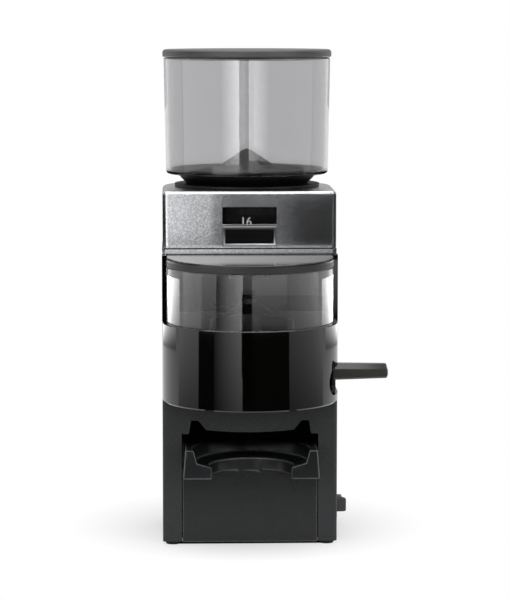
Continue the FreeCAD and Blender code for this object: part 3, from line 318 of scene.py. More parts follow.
# End of a band that runs on past the whole object.
PAST_END = 1.0
GLOSS_BLACK = Finish("gloss_black", "doser_black", (0.0008, 0.0008, 0.0006), 0.05, GRAIN, 160.0, 0.000004,
                     refraction=1.5, drift=0.02)
CAP_GREY = Finish("cap_grey", "lid_grey", (0.040, 0.040, 0.040), 0.42, GRAIN, 1300.0, 0.00001)
GUARD_GREY = Finish("guard_grey", "trim_black", (0.16, 0.16, 0.157), 0.6, GRAIN, 1400.0, 0.00001,
                    refraction=1.3)
TRIM_BLACK = Finish("satin_black", "trim_black", (0.009, 0.009, 0.009), 0.30, GRAIN, 1400.0, 0.00002)
COLLAR_BLACK = Finish("collar_black", "trim_black", (0.003, 0.003, 0.003), 0.4, GRAIN, 1400.0, 0.00002,
                      refraction=1.3)
DIAL_BLACK = Finish("dial_black", "trim_black", (0.004, 0.004, 0.004), 0.6, GRAIN, 1400.0, 0.00002,
                    refraction=1.1)
SWITCH_BLACK = Finish("matt_black", "trim_black", (0.060, 0.061, 0.061), 0.6, GRAIN, 1400.0, 0.00004,
                      refraction=1.3)
HANDLE_BLACK = Finish("handle_black", "trim_black", (0.034, 0.034, 0.030), 0.20, GRAIN, 1400.0, 0.00002)
LENS_CLEAR = Finish("lens_clear", "smoke_clear", (0.85, 0.85, 0.85), 0.02, GRAIN, 90.0, 0.000002,
                    refraction=1.1, transmission=1.0, shade=0.97, drift=0.02)
WINDOW_CLEAR = Finish("window_clear", "smoke_clear", (0.80, 0.80, 0.81), 0.02, GRAIN, 90.0, 0.000004,
                      transmission=1.0, shade=0.97, drift=0.02)
FRAME_SILVER = Finish("frame_silver", "cover_silver", (0.30, 0.30, 0.31), 0.30, GRAIN, 1200.0, 0.00002,
                      metallic=1.0)
PLATE_BLACK = Finish("plate_black", "plate_black", (0.004, 0.004, 0.004), 0.14, GRAIN, 1400.0, 0.00001,
                     refraction=1.3)
PRINT_WHITE = Finish("print_white", "plate_black", (0.62, 0.62, 0.60), 0.5, GRAIN, 2000.0, 0.00001)
RUBBER = Finish("foot_rubber", "foot_rubber", (0.008, 0.008, 0.008), 0.8, GRAIN, 1200.0, 0.00006,
                refraction=1.3)
STEEL = Finish("bright_steel", "steel", (0.56, 0.56, 0.57), 0.28, Texture.BRUSHED, 2600.0, 0.00001,
               metallic=1.0)
BLACK_STEEL = Finish("blacked_steel", "steel", (0.030, 0.030, 0.032), 0.30, Texture.BRUSHED, 2600.0, 0.00001,
                     metallic=0.8)
BURR_STEEL = Finish("ground_steel", "burr_steel", (0.46, 0.46, 0.48), 0.24, Texture.BRUSHED, 3200.0, 0.00001,
                    metallic=1.0)
LAMINATION = Finish("stacked_sheet", "lamination", (0.16, 0.16, 0.17), 0.45, Texture.LAYERED, 320.0, 0.00012,
                    metallic=0.8)
COPPER = Finish("wound_copper", "copper", (0.50, 0.20, 0.09), 0.32, Texture.WOUND, 260.0, 0.0003,
                metallic=0.9, coat=0.4)
CASTING = Finish("cast_metal", "casting", (0.50, 0.51, 0.52), 0.5, Texture.CAST, 700.0, 0.00008,
                 metallic=1.0)
CAN_GREY = Finish("drawn_can", "can_grey", (0.45, 0.45, 0.47), 0.33, Texture.BRUSHED, 1800.0, 0.00001,
                  metallic=1.0)

# Largest cosine that a corner's sides may have, and a length too small to divide by.
NEARLY_STRAIGHT = 0.999999
TINY = 1e-12


def eased(corners: Sequence[Sequence[float]], radii: Sequence[float], steps: int = 7,
          closed: bool = True) -> np.ndarray:
    """Polyline whose corners are arcs.

    A corner gives up its radius over the tangent of half its angle on both sides. The arc between the two
    ends turns from one radius to the other about the arc's centre, which lies on the corner's bisector.

    Args:
        corners: the sharp corners, in order.
        radii: an arc radius for each corner.
        steps: points on each arc.
        closed: whether the line closes; an open line keeps its two ends.

    Returns:
        The points as an array of rows.
    """
    corner = np.asarray(corners, float)
    radius = np.asarray(radii, float)[:, None]
    back = np.roll(corner, 1, axis=0) - corner
    ahead = np.roll(corner, -1, axis=0) - corner
    back /= np.linalg.norm(back, axis=1, keepdims=True)
    ahead /= np.linalg.norm(ahead, axis=1, keepdims=True)
    cosine = (back * ahead).sum(axis=1, keepdims=True)
    half = np.arccos(np.clip(cosine, -NEARLY_STRAIGHT, NEARLY_STRAIGHT)) / 2
    middle = back + ahead
    middle /= np.maximum(np.linalg.norm(middle, axis=1, keepdims=True), TINY)
    centre = corner + middle * radius / np.sin(half)
    first = (corner + back * radius / np.tan(half) - centre)[:, None, :]
    last = (corner + ahead * radius / np.tan(half) - centre)[:, None, :]
    turn = (np.pi - 2 * half)[:, :, None]
    share = np.linspace(0.0, 1.0, steps)[None, :, None]
    arc = (np.sin((1 - share) * turn) * first + np.sin(share * turn) * last) / np.sin(turn)
    points = centre[:, None, :] + arc
    if closed:
        return points.reshape(-1, 2)
    return np.concatenate([corner[:1], points[1:-1].reshape(-1, 2), corner[-1:]])


def turned(profile: np.ndarray, y: float, start: float, end: float, count: int) -> np.ndarray:
    """Grid of a profile of (radius, height) turned about the vertical at x 0 and this y.

    Args:
        profile: rows of radius and height.
        y: where the axis stands.
        start: first angle from +X.
        end: last angle; a whole turn leaves it out.
        count: number of angles.

    Returns:
        Grid of angles by profile points.
    """
    angle = np.radians(np.linspace(start, end, count, endpoint=end - start < 360))[:, None]
    radius, height = profile[None, :, 0], profile[None, :, 1]
    return np.stack([radius * np.cos(angle), y + radius * np.sin(angle), height + 0 * angle], axis=-1)


def inward(path: np.ndarray) -> np.ndarray:
    """Unit normals to the left of a closed plan path, from the chord between each point's neighbours."""
    chord = np.roll(path, -1, axis=0) - np.roll(path, 1, axis=0)
    chord /= np.linalg.norm(chord, axis=1, keepdims=True)
    return np.stack([-chord[:, 1], chord[:, 0]], axis=1)


def carried(path: np.ndarray, profile: np.ndarray) -> np.ndarray:
    """Grid of a profile of (inset, height) carried round a closed plan path that runs anticlockwise.

    Args:
        path: rows of plan points.
        profile: rows of inset from the path, along its normal, and height.

    Returns:
        Grid of path points by profile points.
    """
    plan = path[:, None, :] + inward(path)[:, None, :] * profile[None, :, :1]
    height = np.broadcast_to(profile[None, :, 1:], (len(path), len(profile), 1))
    return np.concatenate([plan, height], axis=-1)


def framed(low: Vector, high: Vector, profile: np.ndarray) -> np.ndarray:
    """Grid of a profile of (inset, depth) carried round an upright rectangle with mitred corners.

    A corner's place is the rectangle's middle plus its two signs times the half sizes less the inset.

    Args:
        low: the rectangle's low corner, of which x and z count.
        high: its high corner.
        profile: rows of inset from the outline and y.

    Returns:
        Grid of four corners by profile points.
    """
    sign = np.array([(-1, -1), (1, -1), (1, 1), (-1, 1)])[:, None, :]
    middle = np.array([low.x + high.x, low.z + high.z]) / 2
    half = np.array([high.x - low.x, high.z - low.z]) / 2
    plan = middle + sign * (half - profile[None, :, :1])
    depth = np.broadcast_to(profile[None, :, 1], plan.shape[:2])
    return np.stack([plan[..., 0], depth, plan[..., 1]], axis=-1)


@dataclass
class Sheet:
    """A grid of points that becomes a mesh piece."""

    name: str
    grid: np.ndarray
    wrap_rows: bool = False
    wrap_columns: bool = False
    cap_rows: bool = False
    cap_columns: bool = False

    def faces(self) -> List[List[int]]:
        """Four-sided faces between neighbours, and a flat face over each open end that is capped."""
        rows, columns = self.grid.shape[:2]
        index = np.arange(rows * columns).reshape(rows, columns)
        wide = np.concatenate([index, index[:1]]) if self.wrap_rows else index
        wide = np.concatenate([wide, wide[:, :1]], axis=1) if self.wrap_columns else wide
        quads = np.stack([wide[:-1, :-1], wide[1:, :-1], wide[1:, 1:], wide[:-1, 1:]], axis=-1)
        made = quads.reshape(-1, 4).tolist()
        if self.cap_rows:
            made += [index[0].tolist(), index[-1].tolist()]
        if self.cap_columns:
            made += [index[:, 0].tolist(), index[:, -1].tolist()]
        return made

    def piece(self) -> bpy.types.Object:
        """The grid as a smooth, closed object with outward faces."""
        return mesh_piece(self.name, self.grid.reshape(-1, 3), self.faces())


def mesh_piece(name: str, points: np.ndarray, faces: List[List[int]],
               sharp: float = 40.0) -> bpy.types.Object:
    """A mesh object in the scene, smooth up to an angle and with its faces pointing out.

    Args:
        name: the piece's name.
        points: rows of x, y and z.
        faces: lists of point numbers.
        sharp: angle past which an edge stays sharp.

    Returns:
        The object, at the origin.
    """
    mesh = bpy.data.meshes.new(name)
    mesh.from_pydata(points, [], faces)
    work = bmesh.new()
    work.from_mesh(mesh)
    bmesh.ops.recalc_face_normals(work, faces=work.faces)
    work.to_mesh(mesh)
    work.free()
    mesh.shade_smooth()
    mesh.set_sharp_from_angle(angle=math.radians(sharp))
    made = bpy.data.objects.new(name, mesh)
    bpy.context.scene.collection.objects.link(made)
    even = made.modifiers.new("even_normals", "WEIGHTED_NORMAL")
    even.keep_sharp = True
    return made


def take_in(piece: bpy.types.Object, finish: Finish, body: str,
            nodes: Sequence[str] = ()) -> bpy.types.Object:
    """Dresses a new piece, rides it on its body and hides the solids that it stands for.

    Args:
        piece: the new object.
        finish: its finish.
        body: the body that it moves with.
        nodes: the solids that it replaces.

    Returns:
        The same object.
    """
    piece.data.materials.append(finish.material())
    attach(piece, body)
    if nodes:
        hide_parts(*nodes)
    return piece


@dataclass
class SubAssembly:
    """A group of pieces: solids that keep their shape, and pieces that its subclass makes."""

    weld_gap: float = 0.005 * MM
    flat_angle: float = 0.02
    sharp_angle: float = 35.0
    edge_steps: int = 2

    def dress(self, finishes: Dict[Finish, Sequence[str]],
              edges: Optional[Dict[str, float]] = None) -> List[str]:
        """Gives solids their finish, and some of them a round edge.

        Args:
            finishes: each finish with its solids.
            edges: edge width in metres of the solids whose edges are rounded.

        Returns:
            The names of the solids.
        """
        names = []
        for finish, nodes in finishes.items():
            for node in nodes:
                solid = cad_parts[node]
                for slot in solid.material_slots:
                    slot.material = finish.material()
                names.append(node)
        for node, width in (edges or {}).items():
            self.round_edges(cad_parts[node], width)
        return names

    def round_edges(self, solid: bpy.types.Object, width: float, glint: Optional[Finish] = None) -> None:
        """Joins the solid's triangles and rounds its sharp edges.

        With a glint the flat faces are joined too, so that every edge gets its full width.

        Args:
            solid: the solid, whose own points and faces stay as they are.
            width: the edges' width in metres.
            glint: a finish for the rounded edges alone, which paints a highlight on them.
        """
        weld = solid.modifiers.new("join", "WELD")
        weld.merge_threshold = self.weld_gap
        if glint:
            flat = solid.modifiers.new("join_flats", "DECIMATE")
            flat.decimate_type = "DISSOLVE"
            flat.angle_limit = math.radians(self.flat_angle)
        edge = solid.modifiers.new("round_edges", "BEVEL")
        edge.limit_method = "ANGLE"
        edge.angle_limit = math.radians(self.sharp_angle)
        edge.width = width
        edge.segments = self.edge_steps
        edge.use_clamp_overlap = glint is None
        # The glint finish paints a highlight on the rounded faces.
        if glint:
            solid.data.materials.append(glint.material())
            edge.material = len(solid.data.materials) - 1
        even = solid.modifiers.new("even_normals", "WEIGHTED_NORMAL")
        even.keep_sharp = False

    def build(self) -> List[str]:
        """Makes and dresses the pieces and returns their names."""
        raise NotImplementedError


@dataclass
class LowerHousing(SubAssembly):
    """Motor housing with its base, feet, switch and cord inlet."""

    edge: float = 0.6 * MM
    bezel_edge: float = 0.4 * MM
    rocker_edge: float = 1.3 * MM
    skirt: float = 2.6 * MM
    seam: float = 0.7 * MM

    def grained(self) -> Finish:
        """Grained grey that is dark in the seam above its skirt."""
        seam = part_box("lower_housing")[0].z + self.skirt
        return BandedFinish("grained_grey", "housing_grey", (0.016, 0.018, 0.019), 0.55, GRAIN, 800.0,
                            0.00010, refraction=1.42, shade=0.4, speckle=0.8, contrast=3.0, band_low=seam,
                            band_high=seam + self.seam, band_colour=(0.004, 0.004, 0.004))

    def build(self) -> List[str]:
        """Dresses the housing's solids."""
        return self.dress({
            self.grained(): ["lower_housing"],
            RUBBER: ["rubber_feet"],
            STEEL: ["base_plate", "case_screws"],
            SWITCH_BLACK: ["switch_body", "switch_rocker"],
            TRIM_BLACK: ["cord_inlet"],
        }, {"lower_housing": self.edge, "switch_body": self.bezel_edge, "switch_rocker": self.rocker_edge})


@dataclass
class Fork(SubAssembly):
    """Portafilter fork with its panel and screws."""

    edge: float = 0.9 * MM
    ring_low: float = 57.0 * MM
    ring_slope: float = 2.0
    pocket_depth: float = 28.0 * MM
    pocket_soft: float = 16.0 * MM
    face_colour: Point = (0.008, 0.009, 0.010)
    # Lighter grey of the rounded edges, a painted highlight.
    edge_colour: Point = (0.075, 0.075, 0.075)

    def satin(self, name: str, colour: Point) -> Finish:
        """Satin plastic with painted shade, turning black towards the back of the ring and the pocket where
        shade falls.

        Depth plus the slope times the height parts the ring from the panel below it.

        Args:
            name: the finish's name.
            colour: its colour in front of the pocket.

        Returns:
            The finish.
        """
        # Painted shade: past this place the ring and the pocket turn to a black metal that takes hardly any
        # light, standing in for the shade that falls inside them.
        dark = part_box("lower_housing")[0].y + self.pocket_depth + self.ring_slope * self.ring_low
        return BandedFinish(name, "fork_grey", colour, 0.28, GRAIN, 900.0, 0.00006, refraction=1.42,
                            shade=0.4, speckle=0.7, contrast=3.0, along=(0.0, 1.0, self.ring_slope),
                            band_low=dark, band_high=PAST_END, band_colour=(0.0008, 0.0008, 0.0008),
                            band_metallic=1.0, band_soft=self.pocket_soft)

    def build(self) -> List[str]:
        """Dresses the fork's solids and gives its rounded edges a lighter grey as a painted highlight."""
        names = self.dress({
            self.satin("satin_grey", self.face_colour): ["fork_panel"],
            STEEL: ["fork_screws"],
        })
        # Painted highlight: the rounded edges get a lighter grey that stands in for their glints, still
        # black in the painted shade of the pocket.
        glint = self.satin("edge_grey", self.edge_colour)
        self.round_edges(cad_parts["fork_panel"], self.edge, glint)
        return names


@dataclass
class Motor(SubAssembly):
    """Induction motor and its capacitor."""

    def build(self) -> List[str]:
        """Dresses the motor's solids."""
        return self.dress({
            STEEL: ["motor_plate", "motor_bearings", "motor_bolts", "capacitor_clip", "motor_shaft"],
            LAMINATION: ["motor_stator", "rotor_core"],
            COPPER: ["motor_windings"],
            CASTING: ["upper_bracket", "lower_bracket"],
            CAN_GREY: ["capacitor"],
            TRIM_BLACK: ["cooling_fan"],
        })


@dataclass
class Doser(SubAssembly):
    """Upper housing, band, window, lid, dosing star and its ratchet."""

    window_wall: float = 2.4 * MM
    window_edge: float = 0.5 * MM
    window_end: float = 359.999
    lid_top_edge: float = 1.2 * MM
    lid_low_edge: float = 0.6 * MM
    lid_corner: float = 2.8 * MM
    lid_margin: float = 2.5 * MM
    lid_rise: float = 1.7 * MM
    housing_edge: float = 0.4 * MM
    inside_start: float = 8.0 * MM
    count: int = 160

    def window(self) -> bpy.types.Object:
        """Half tube: a rounded upright section turned through half a circle."""
        low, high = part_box("doser_window")
        outer = high.x
        inner = outer - self.window_wall
        corners = [(inner, low.z), (outer, low.z), (outer, high.z), (inner, high.z)]
        section = eased(corners, [self.window_edge] * len(corners))
        sheet = Sheet("doser_window_clear", turned(section, high.y, 180.0, self.window_end, self.count),
                      wrap_columns=True, cap_rows=True)
        return take_in(sheet.piece(), WINDOW_CLEAR, "frame", ["doser_window"])

    def body_black(self) -> Finish:
        """Gloss black with painted shade inside: behind the window's ends it turns to a dull black metal
        that takes hardly any light.
        """
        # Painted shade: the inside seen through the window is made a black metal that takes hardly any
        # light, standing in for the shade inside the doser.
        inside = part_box("doser_window")[1].y + self.inside_start
        gloss = GLOSS_BLACK
        return BandedFinish("gloss_black_body", gloss.slot, gloss.colour, gloss.roughness, gloss.texture,
                            gloss.cells, gloss.depth, refraction=gloss.refraction, drift=gloss.drift,
                            along=(0.0, 1.0, 0.0), band_low=inside, band_high=PAST_END,
                            band_colour=(0.003, 0.003, 0.003), band_metallic=1.0, band_matt=0.4,
                            band_soft=self.inside_start / 2)

    def lid_grey(self, top: float) -> Finish:
        """Grey lid with a matt rim and a glossy top."""
        return BandedFinish("lid_satin", "lid_grey", (0.016, 0.016, 0.015), 0.10, GRAIN, 1300.0, 0.00001,
                            band_high=top - self.lid_top_edge, band_colour=(0.017, 0.017, 0.016),
                            band_matt=0.4, band_soft=self.lid_top_edge)

    def lid(self) -> bpy.types.Object:
        """Lid: a section with rounded edges carried round a half disc with a straight stub.

        Its top climbs evenly towards the back, by the share of the lid's depth times that of its height.
        """
        low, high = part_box("doser_lid")
        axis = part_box("doser_window")[1].y
        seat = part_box("doser_window")[1].z
        radius = high.x
        angle = np.radians(np.linspace(180.0, 360.0, self.count))
        bow = np.stack([radius * np.cos(angle), axis + radius * np.sin(angle)], axis=1)
        stub = eased([(radius, axis), (radius, high.y), (-radius, high.y), (-radius, axis)],
                     [self.lid_corner] * 4, closed=False)
        edges = [self.lid_low_edge, self.lid_low_edge, self.lid_top_edge, self.lid_top_edge]
        section = eased([(self.lid_margin, seat), (0.0, seat), (0.0, high.z), (self.lid_margin, high.z)],
                        edges, closed=False)
        grid = carried(np.concatenate([bow, stub[1:-1]]), section)
        back = (grid[..., 1] - low.y) / (high.y - low.y)
        grid[..., 2] += self.lid_rise * back * (grid[..., 2] - seat) / (high.z - seat)
        sheet = Sheet("doser_lid_shell", grid, wrap_rows=True, cap_columns=True)
        return take_in(sheet.piece(), self.lid_grey(high.z), "doser_cap", ["doser_lid"])

    def build(self) -> List[str]:
        """Makes the window and the lid and dresses the rest."""
        new = [self.window(), self.lid()]
        return [piece.name for piece in new] + self.dress({
            GLOSS_BLACK: ["upper_housing"],
            self.body_black(): ["doser_body"],
            TRIM_BLACK: ["dosing_star"],
            BLACK_STEEL: ["doser_spindle", "spindle_nut"],
            STEEL: ["doser_screws", "ratchet_wheel"],
        }, {"upper_housing": self.housing_edge})


@dataclass
class Lever(SubAssembly):
    """Dosing lever with its return spring and pawl."""

    edge: float = 0.5 * MM

    def build(self) -> List[str]:
        """Dresses the lever's solids."""
        return self.dress({
            HANDLE_BLACK: ["lever_handle"],
            BLACK_STEEL: ["lever_arm"],
            STEEL: ["lever_spring", "pawl"],
        }, {"lever_handle": self.edge})


@dataclass
class GrindHead(SubAssembly):
    """Burr chamber, burrs, carriers and the chute."""

    def build(self) -> List[str]:
        """Dresses the solids of the grinding head."""
        return self.dress({
            CASTING: ["burr_chamber", "lower_burr_carrier", "burr_carrier"],
            BURR_STEEL: ["lower_burr", "upper_burr"],
            STEEL: ["chamber_bearing", "chamber_screws", "lower_burr_screws", "upper_burr_screws",
                    "shaft_nut", "click_spring"],
            TRIM_BLACK: ["grounds_chute"],
        })


@dataclass
class TopCover(SubAssembly):
    """Silver cover with its dial window, bare plate and the printed numbers behind the window."""

    edge: float = 0.8 * MM
    foot: float = 3.4 * MM
    seam: float = 0.9 * MM
    frame_width: float = 1.9 * MM
    frame_lip: float = 0.3 * MM
    frame_rise: float = 0.5 * MM
    number_height: float = 6.0 * MM
    number_rise: float = 0.6 * MM
    number_turn: float = -2.3
    number_count: int = 9
    number_step: int = 2
    number_front: int = 16
    print_thickness: float = 0.04 * MM
    print_steps: int = 4
    figure_share: float = 0.7

    def silver(self) -> Finish:
        """Fine hammered silver that is dark in the seam above the cover's foot."""
        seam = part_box("top_cover")[0].z + self.foot
        return BandedFinish("hammered_silver", "cover_silver", (0.64, 0.65, 0.67), 0.19, Texture.HAMMERED,
                            1200.0, 0.00002, metallic=1.0, shade=0.45, speckle=0.9, contrast=3.0, drift=0.04,
                            band_low=seam, band_high=seam + self.seam, band_colour=(0.01, 0.01, 0.01),
                            band_metallic=1.0)

    def plate(self) -> List[bpy.types.Object]:
        """Bare plate: a face inside a raised frame with sloping sides."""
        low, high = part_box("name_plate")
        width = self.frame_width
        face = low.y + self.frame_rise
        section = np.array([(0.0, high.y), (0.0, low.y + self.frame_lip), (self.frame_lip, low.y),
                            (width / 2, low.y), (width, face), (width, high.y)])
        ring = Sheet("plate_frame", framed(low, high, section), wrap_rows=True, wrap_columns=True)
        inner = np.array([(width / 2, high.y), (width / 2, face)])
        slab = Sheet("plate_face", framed(low, high, inner), wrap_rows=True, cap_columns=True)
        rim = take_in(ring.piece(), FRAME_SILVER, "frame")
        return [rim, take_in(slab.piece(), PLATE_BLACK, "frame", ["name_plate"])]

    def numbers(self) -> bpy.types.Object:
        """Dial numbers: text wrapped round the number ring, so that a plan width becomes an arc length."""
        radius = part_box("number_ring")[1].x
        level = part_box("dial_lens")[0].z + self.number_rise
        pitch = 360.0 / self.number_count
        points, faces, start = [], [], 0
        for place in range(self.number_count):
            value = self.number_step * (place + 1)
            turn = self.number_turn - 90.0 + pitch * (value - self.number_front) / self.number_step
            flat, sides = self.letters(str(value))
            angle = math.radians(turn) + flat[:, 0] / radius
            reach = radius + self.print_thickness + flat[:, 2]
            height = level + flat[:, 1]
            points.append(np.stack([reach * np.cos(angle), reach * np.sin(angle), height], axis=1))
            faces += [[corner + start for corner in side] for side in sides]
            start += len(flat)
        made = mesh_piece("dial_numbers", np.concatenate(points), faces)
        return take_in(made, PRINT_WHITE, "adjuster")

    def letters(self, text: str) -> Tuple[np.ndarray, List[List[int]]]:
        """Outline of a number as a thin mesh, centred and standing on its base line.

        Args:
            text: the number.

        Returns:
            Points, with the reading direction along x, and faces.
        """
        curve = bpy.data.curves.new("number", "FONT")
        curve.body = text
        curve.align_x = "CENTER"
        curve.size = self.number_height / self.figure_share
        curve.extrude = self.print_thickness
        curve.resolution_u = self.print_steps
        holder = bpy.data.objects.new("number", curve)
        mesh = bpy.data.meshes.new_from_object(holder)
        points = np.empty(3 * len(mesh.vertices), np.float32)
        mesh.vertices.foreach_get("co", points)
        sides = [list(side.vertices) for side in mesh.polygons]
        bpy.data.objects.remove(holder)
        bpy.data.curves.remove(curve)
        bpy.data.meshes.remove(mesh)
        return points.reshape(-1, 3).astype(float), sides

    def build(self) -> List[str]:
        """Makes the plate and the numbers and dresses the cover."""
        new = self.plate() + [self.numbers()]
        return [piece.name for piece in new] + self.dress({
            self.silver(): ["top_cover"],
            STEEL: ["cover_screws"],
            LENS_CLEAR: ["dial_lens"],
            DIAL_BLACK: ["number_ring"],
        }, {"top_cover": self.edge})


@dataclass
class BeanHopper(SubAssembly):
    """Clear hopper with its lid, bean guard and grind collar."""

    wall: float = 2.5 * MM
    corner: float = 2.6 * MM
    inner_corner: float = 0.5 * MM
    rim: float = 0.8 * MM
    small_edge: float = 0.4 * MM
    neck_drop: float = 14.0 * MM
    neck_radius: float = 40.3 * MM
    low_radius: float = 60.5 * MM
    floor_shade: float = 1.2 * MM
    lid_gap: float = 0.4 * MM
    lid_edge: float = 2.4 * MM
    lid_low_edge: float = 1.4 * MM
    lid_margin: float = 8.0 * MM
    lip_wall: float = 2.0 * MM
    lip_gap: float = 0.5 * MM
    count: int = 240

    def smoked(self, floor: float) -> Finish:
        """Smoked plastic, darker below its floor, where it is seen edge on."""
        return BandedFinish("smoked_clear", "smoke_clear", (0.60, 0.60, 0.61), 0.03, GRAIN, 90.0, 0.000004,
                            transmission=1.0, shade=0.97, speckle=0.0, drift=0.03,
                            band_high=floor + self.floor_shade, band_colour=(0.21, 0.21, 0.205),
                            band_soft=self.floor_shade)

    def hopper(self) -> bpy.types.Object:
        """Hopper: a closed section of wall, floor and neck turned about the burr axis."""
        low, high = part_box("hopper")
        floor = low.z + self.neck_drop
        outer, neck, wall = high.x, self.neck_radius, self.wall
        small = self.small_edge
        section = eased([
            (neck - wall, low.z), (neck, low.z), (neck, floor), (self.low_radius, floor), (outer, high.z),
            (outer - wall, high.z), (self.low_radius - wall, floor + wall), (neck - wall, floor + wall),
        ], [small, small, small, self.corner, self.rim, self.rim, self.inner_corner, small])
        sheet = Sheet("hopper_clear", turned(section, 0.0, 0.0, 360.0, self.count), wrap_rows=True,
                      wrap_columns=True)
        return take_in(sheet.piece(), self.smoked(floor + wall), "adjuster", ["hopper"])

    def lid(self) -> bpy.types.Object:
        """Lid: a disc with a rounded rim and an inner lip, turned about the burr axis."""
        low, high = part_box("hopper_lid")
        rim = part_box("hopper")[1]
        seat = rim.z + self.lid_gap
        lip = rim.x - self.wall - self.lip_gap
        small = self.small_edge
        section = eased([
            (lip - self.lid_margin, seat), (lip - self.lip_wall, seat), (lip - self.lip_wall, low.z),
            (lip, low.z), (lip, seat), (high.x, seat), (high.x, high.z), (lip - self.lid_margin, high.z),
        ], [small, small, small, small, small, self.lid_low_edge, self.lid_edge, small], closed=False)
        sheet = Sheet("hopper_lid_shell", turned(section, 0.0, 0.0, 360.0, self.count), wrap_rows=True,
                      cap_columns=True)
        return take_in(sheet.piece(), CAP_GREY, "hopper_cap", ["hopper_lid"])

    def build(self) -> List[str]:
        """Makes the hopper and its lid and dresses the guard and the collar."""
        new = [self.hopper(), self.lid()]
        return [piece.name for piece in new] + self.dress({
            GUARD_GREY: ["bean_guard"],
            COLLAR_BLACK: ["adjusting_collar"],
        })


@dataclass(frozen=True)
class Card:
    """Curved card round the doser that the camera doesn't see: a soft box, or black cloth.

    Angles run from straight in front of the doser towards +X. The card spans two arcs, each a radius and a
    height, about a centre at or behind the doser's axis. Its glow runs evenly from the low arc to the high
    one and is faded from its first angle to its last. Reflections see every card, clear pieces those that
    show through, and only a card that shades keeps light from the object.
    """

    name: str
    start: float
    end: float
    low: Tuple[float, float]
    high: Tuple[float, float]
    glow: Tuple[float, float]
    fade: Tuple[float, float] = (1.0, 1.0)
    behind: float = 0.0
    through: bool = True
    shades: bool = False
    count: int = 24

    def build(self, axis: float) -> None:
        """Stands the card round the doser's axis.

        Args:
            axis: the axis's y.
        """
        angle = np.radians(np.linspace(self.start, self.end, self.count))[:, None]
        radius = np.array([[self.low[0], self.high[0]]])
        height = np.array([[self.low[1], self.high[1]]])
        depth = axis + self.behind - radius * np.cos(angle)
        grid = np.stack([radius * np.sin(angle), depth, height + 0 * angle], axis=-1)
        card = Sheet(self.name, grid).piece()
        glow = np.linspace(self.fade[0], self.fade[1], self.count)[:, None] * np.array([self.glow])
        level = card.data.attributes.new("glow", "FLOAT", "POINT")
        level.data.foreach_set("value", glow.astype(np.float32).ravel())
        made = bpy.data.materials.new(self.name)
        made.use_nodes = True
        tree = ShaderTree(made.node_tree)
        colour = tree.add("ShaderNodeAttribute", {"attribute_name": "glow"}, {}, "Color")
        light = tree.add("ShaderNodeEmission", {}, {"Color": colour})
        tree.add("ShaderNodeOutputMaterial", {}, {"Surface": light})
        card.data.materials.append(made)
        card.visible_camera = False
        card.visible_diffuse = self.shades
        card.visible_shadow = self.shades
        card.visible_transmission = self.through


def facing(place: Point, aim: Point) -> Euler:
    """Turn of a lamp or a camera that looks from a place at an aim, the right way up."""
    return (Vector(aim) - Vector(place)).to_track_quat("-Z", "Y").to_euler()


@dataclass(frozen=True)
class Lamp:
    """Square soft lamp."""

    name: str
    place: Point
    size: float
    power: float

    def build(self, aim: Point) -> None:
        """Hangs the lamp.

        Args:
            aim: the point that it faces.
        """
        data = bpy.data.lights.new(self.name, "AREA")
        data.size = self.size
        data.energy = self.power
        lamp = bpy.data.objects.new(self.name, data)
        lamp.location = self.place
        lamp.rotation_euler = facing(self.place, aim)
        bpy.context.scene.collection.objects.link(lamp)


# Glow of black and of dark cards, and the arcs that several cards share, each a radius and a height.
BLACK = (0.004, 0.004)
DARK = (0.01, 0.01)
LOW_ARCS = ((0.45, 0.004), (0.85, 0.14))
SOFT_ARCS = ((0.95, 0.165), (0.95, 0.40))
RIM_ARCS = ((1.0, 0.02), (1.0, 0.098))
FLAG_ARCS = ((0.2, 0.195), (0.2, 0.257))


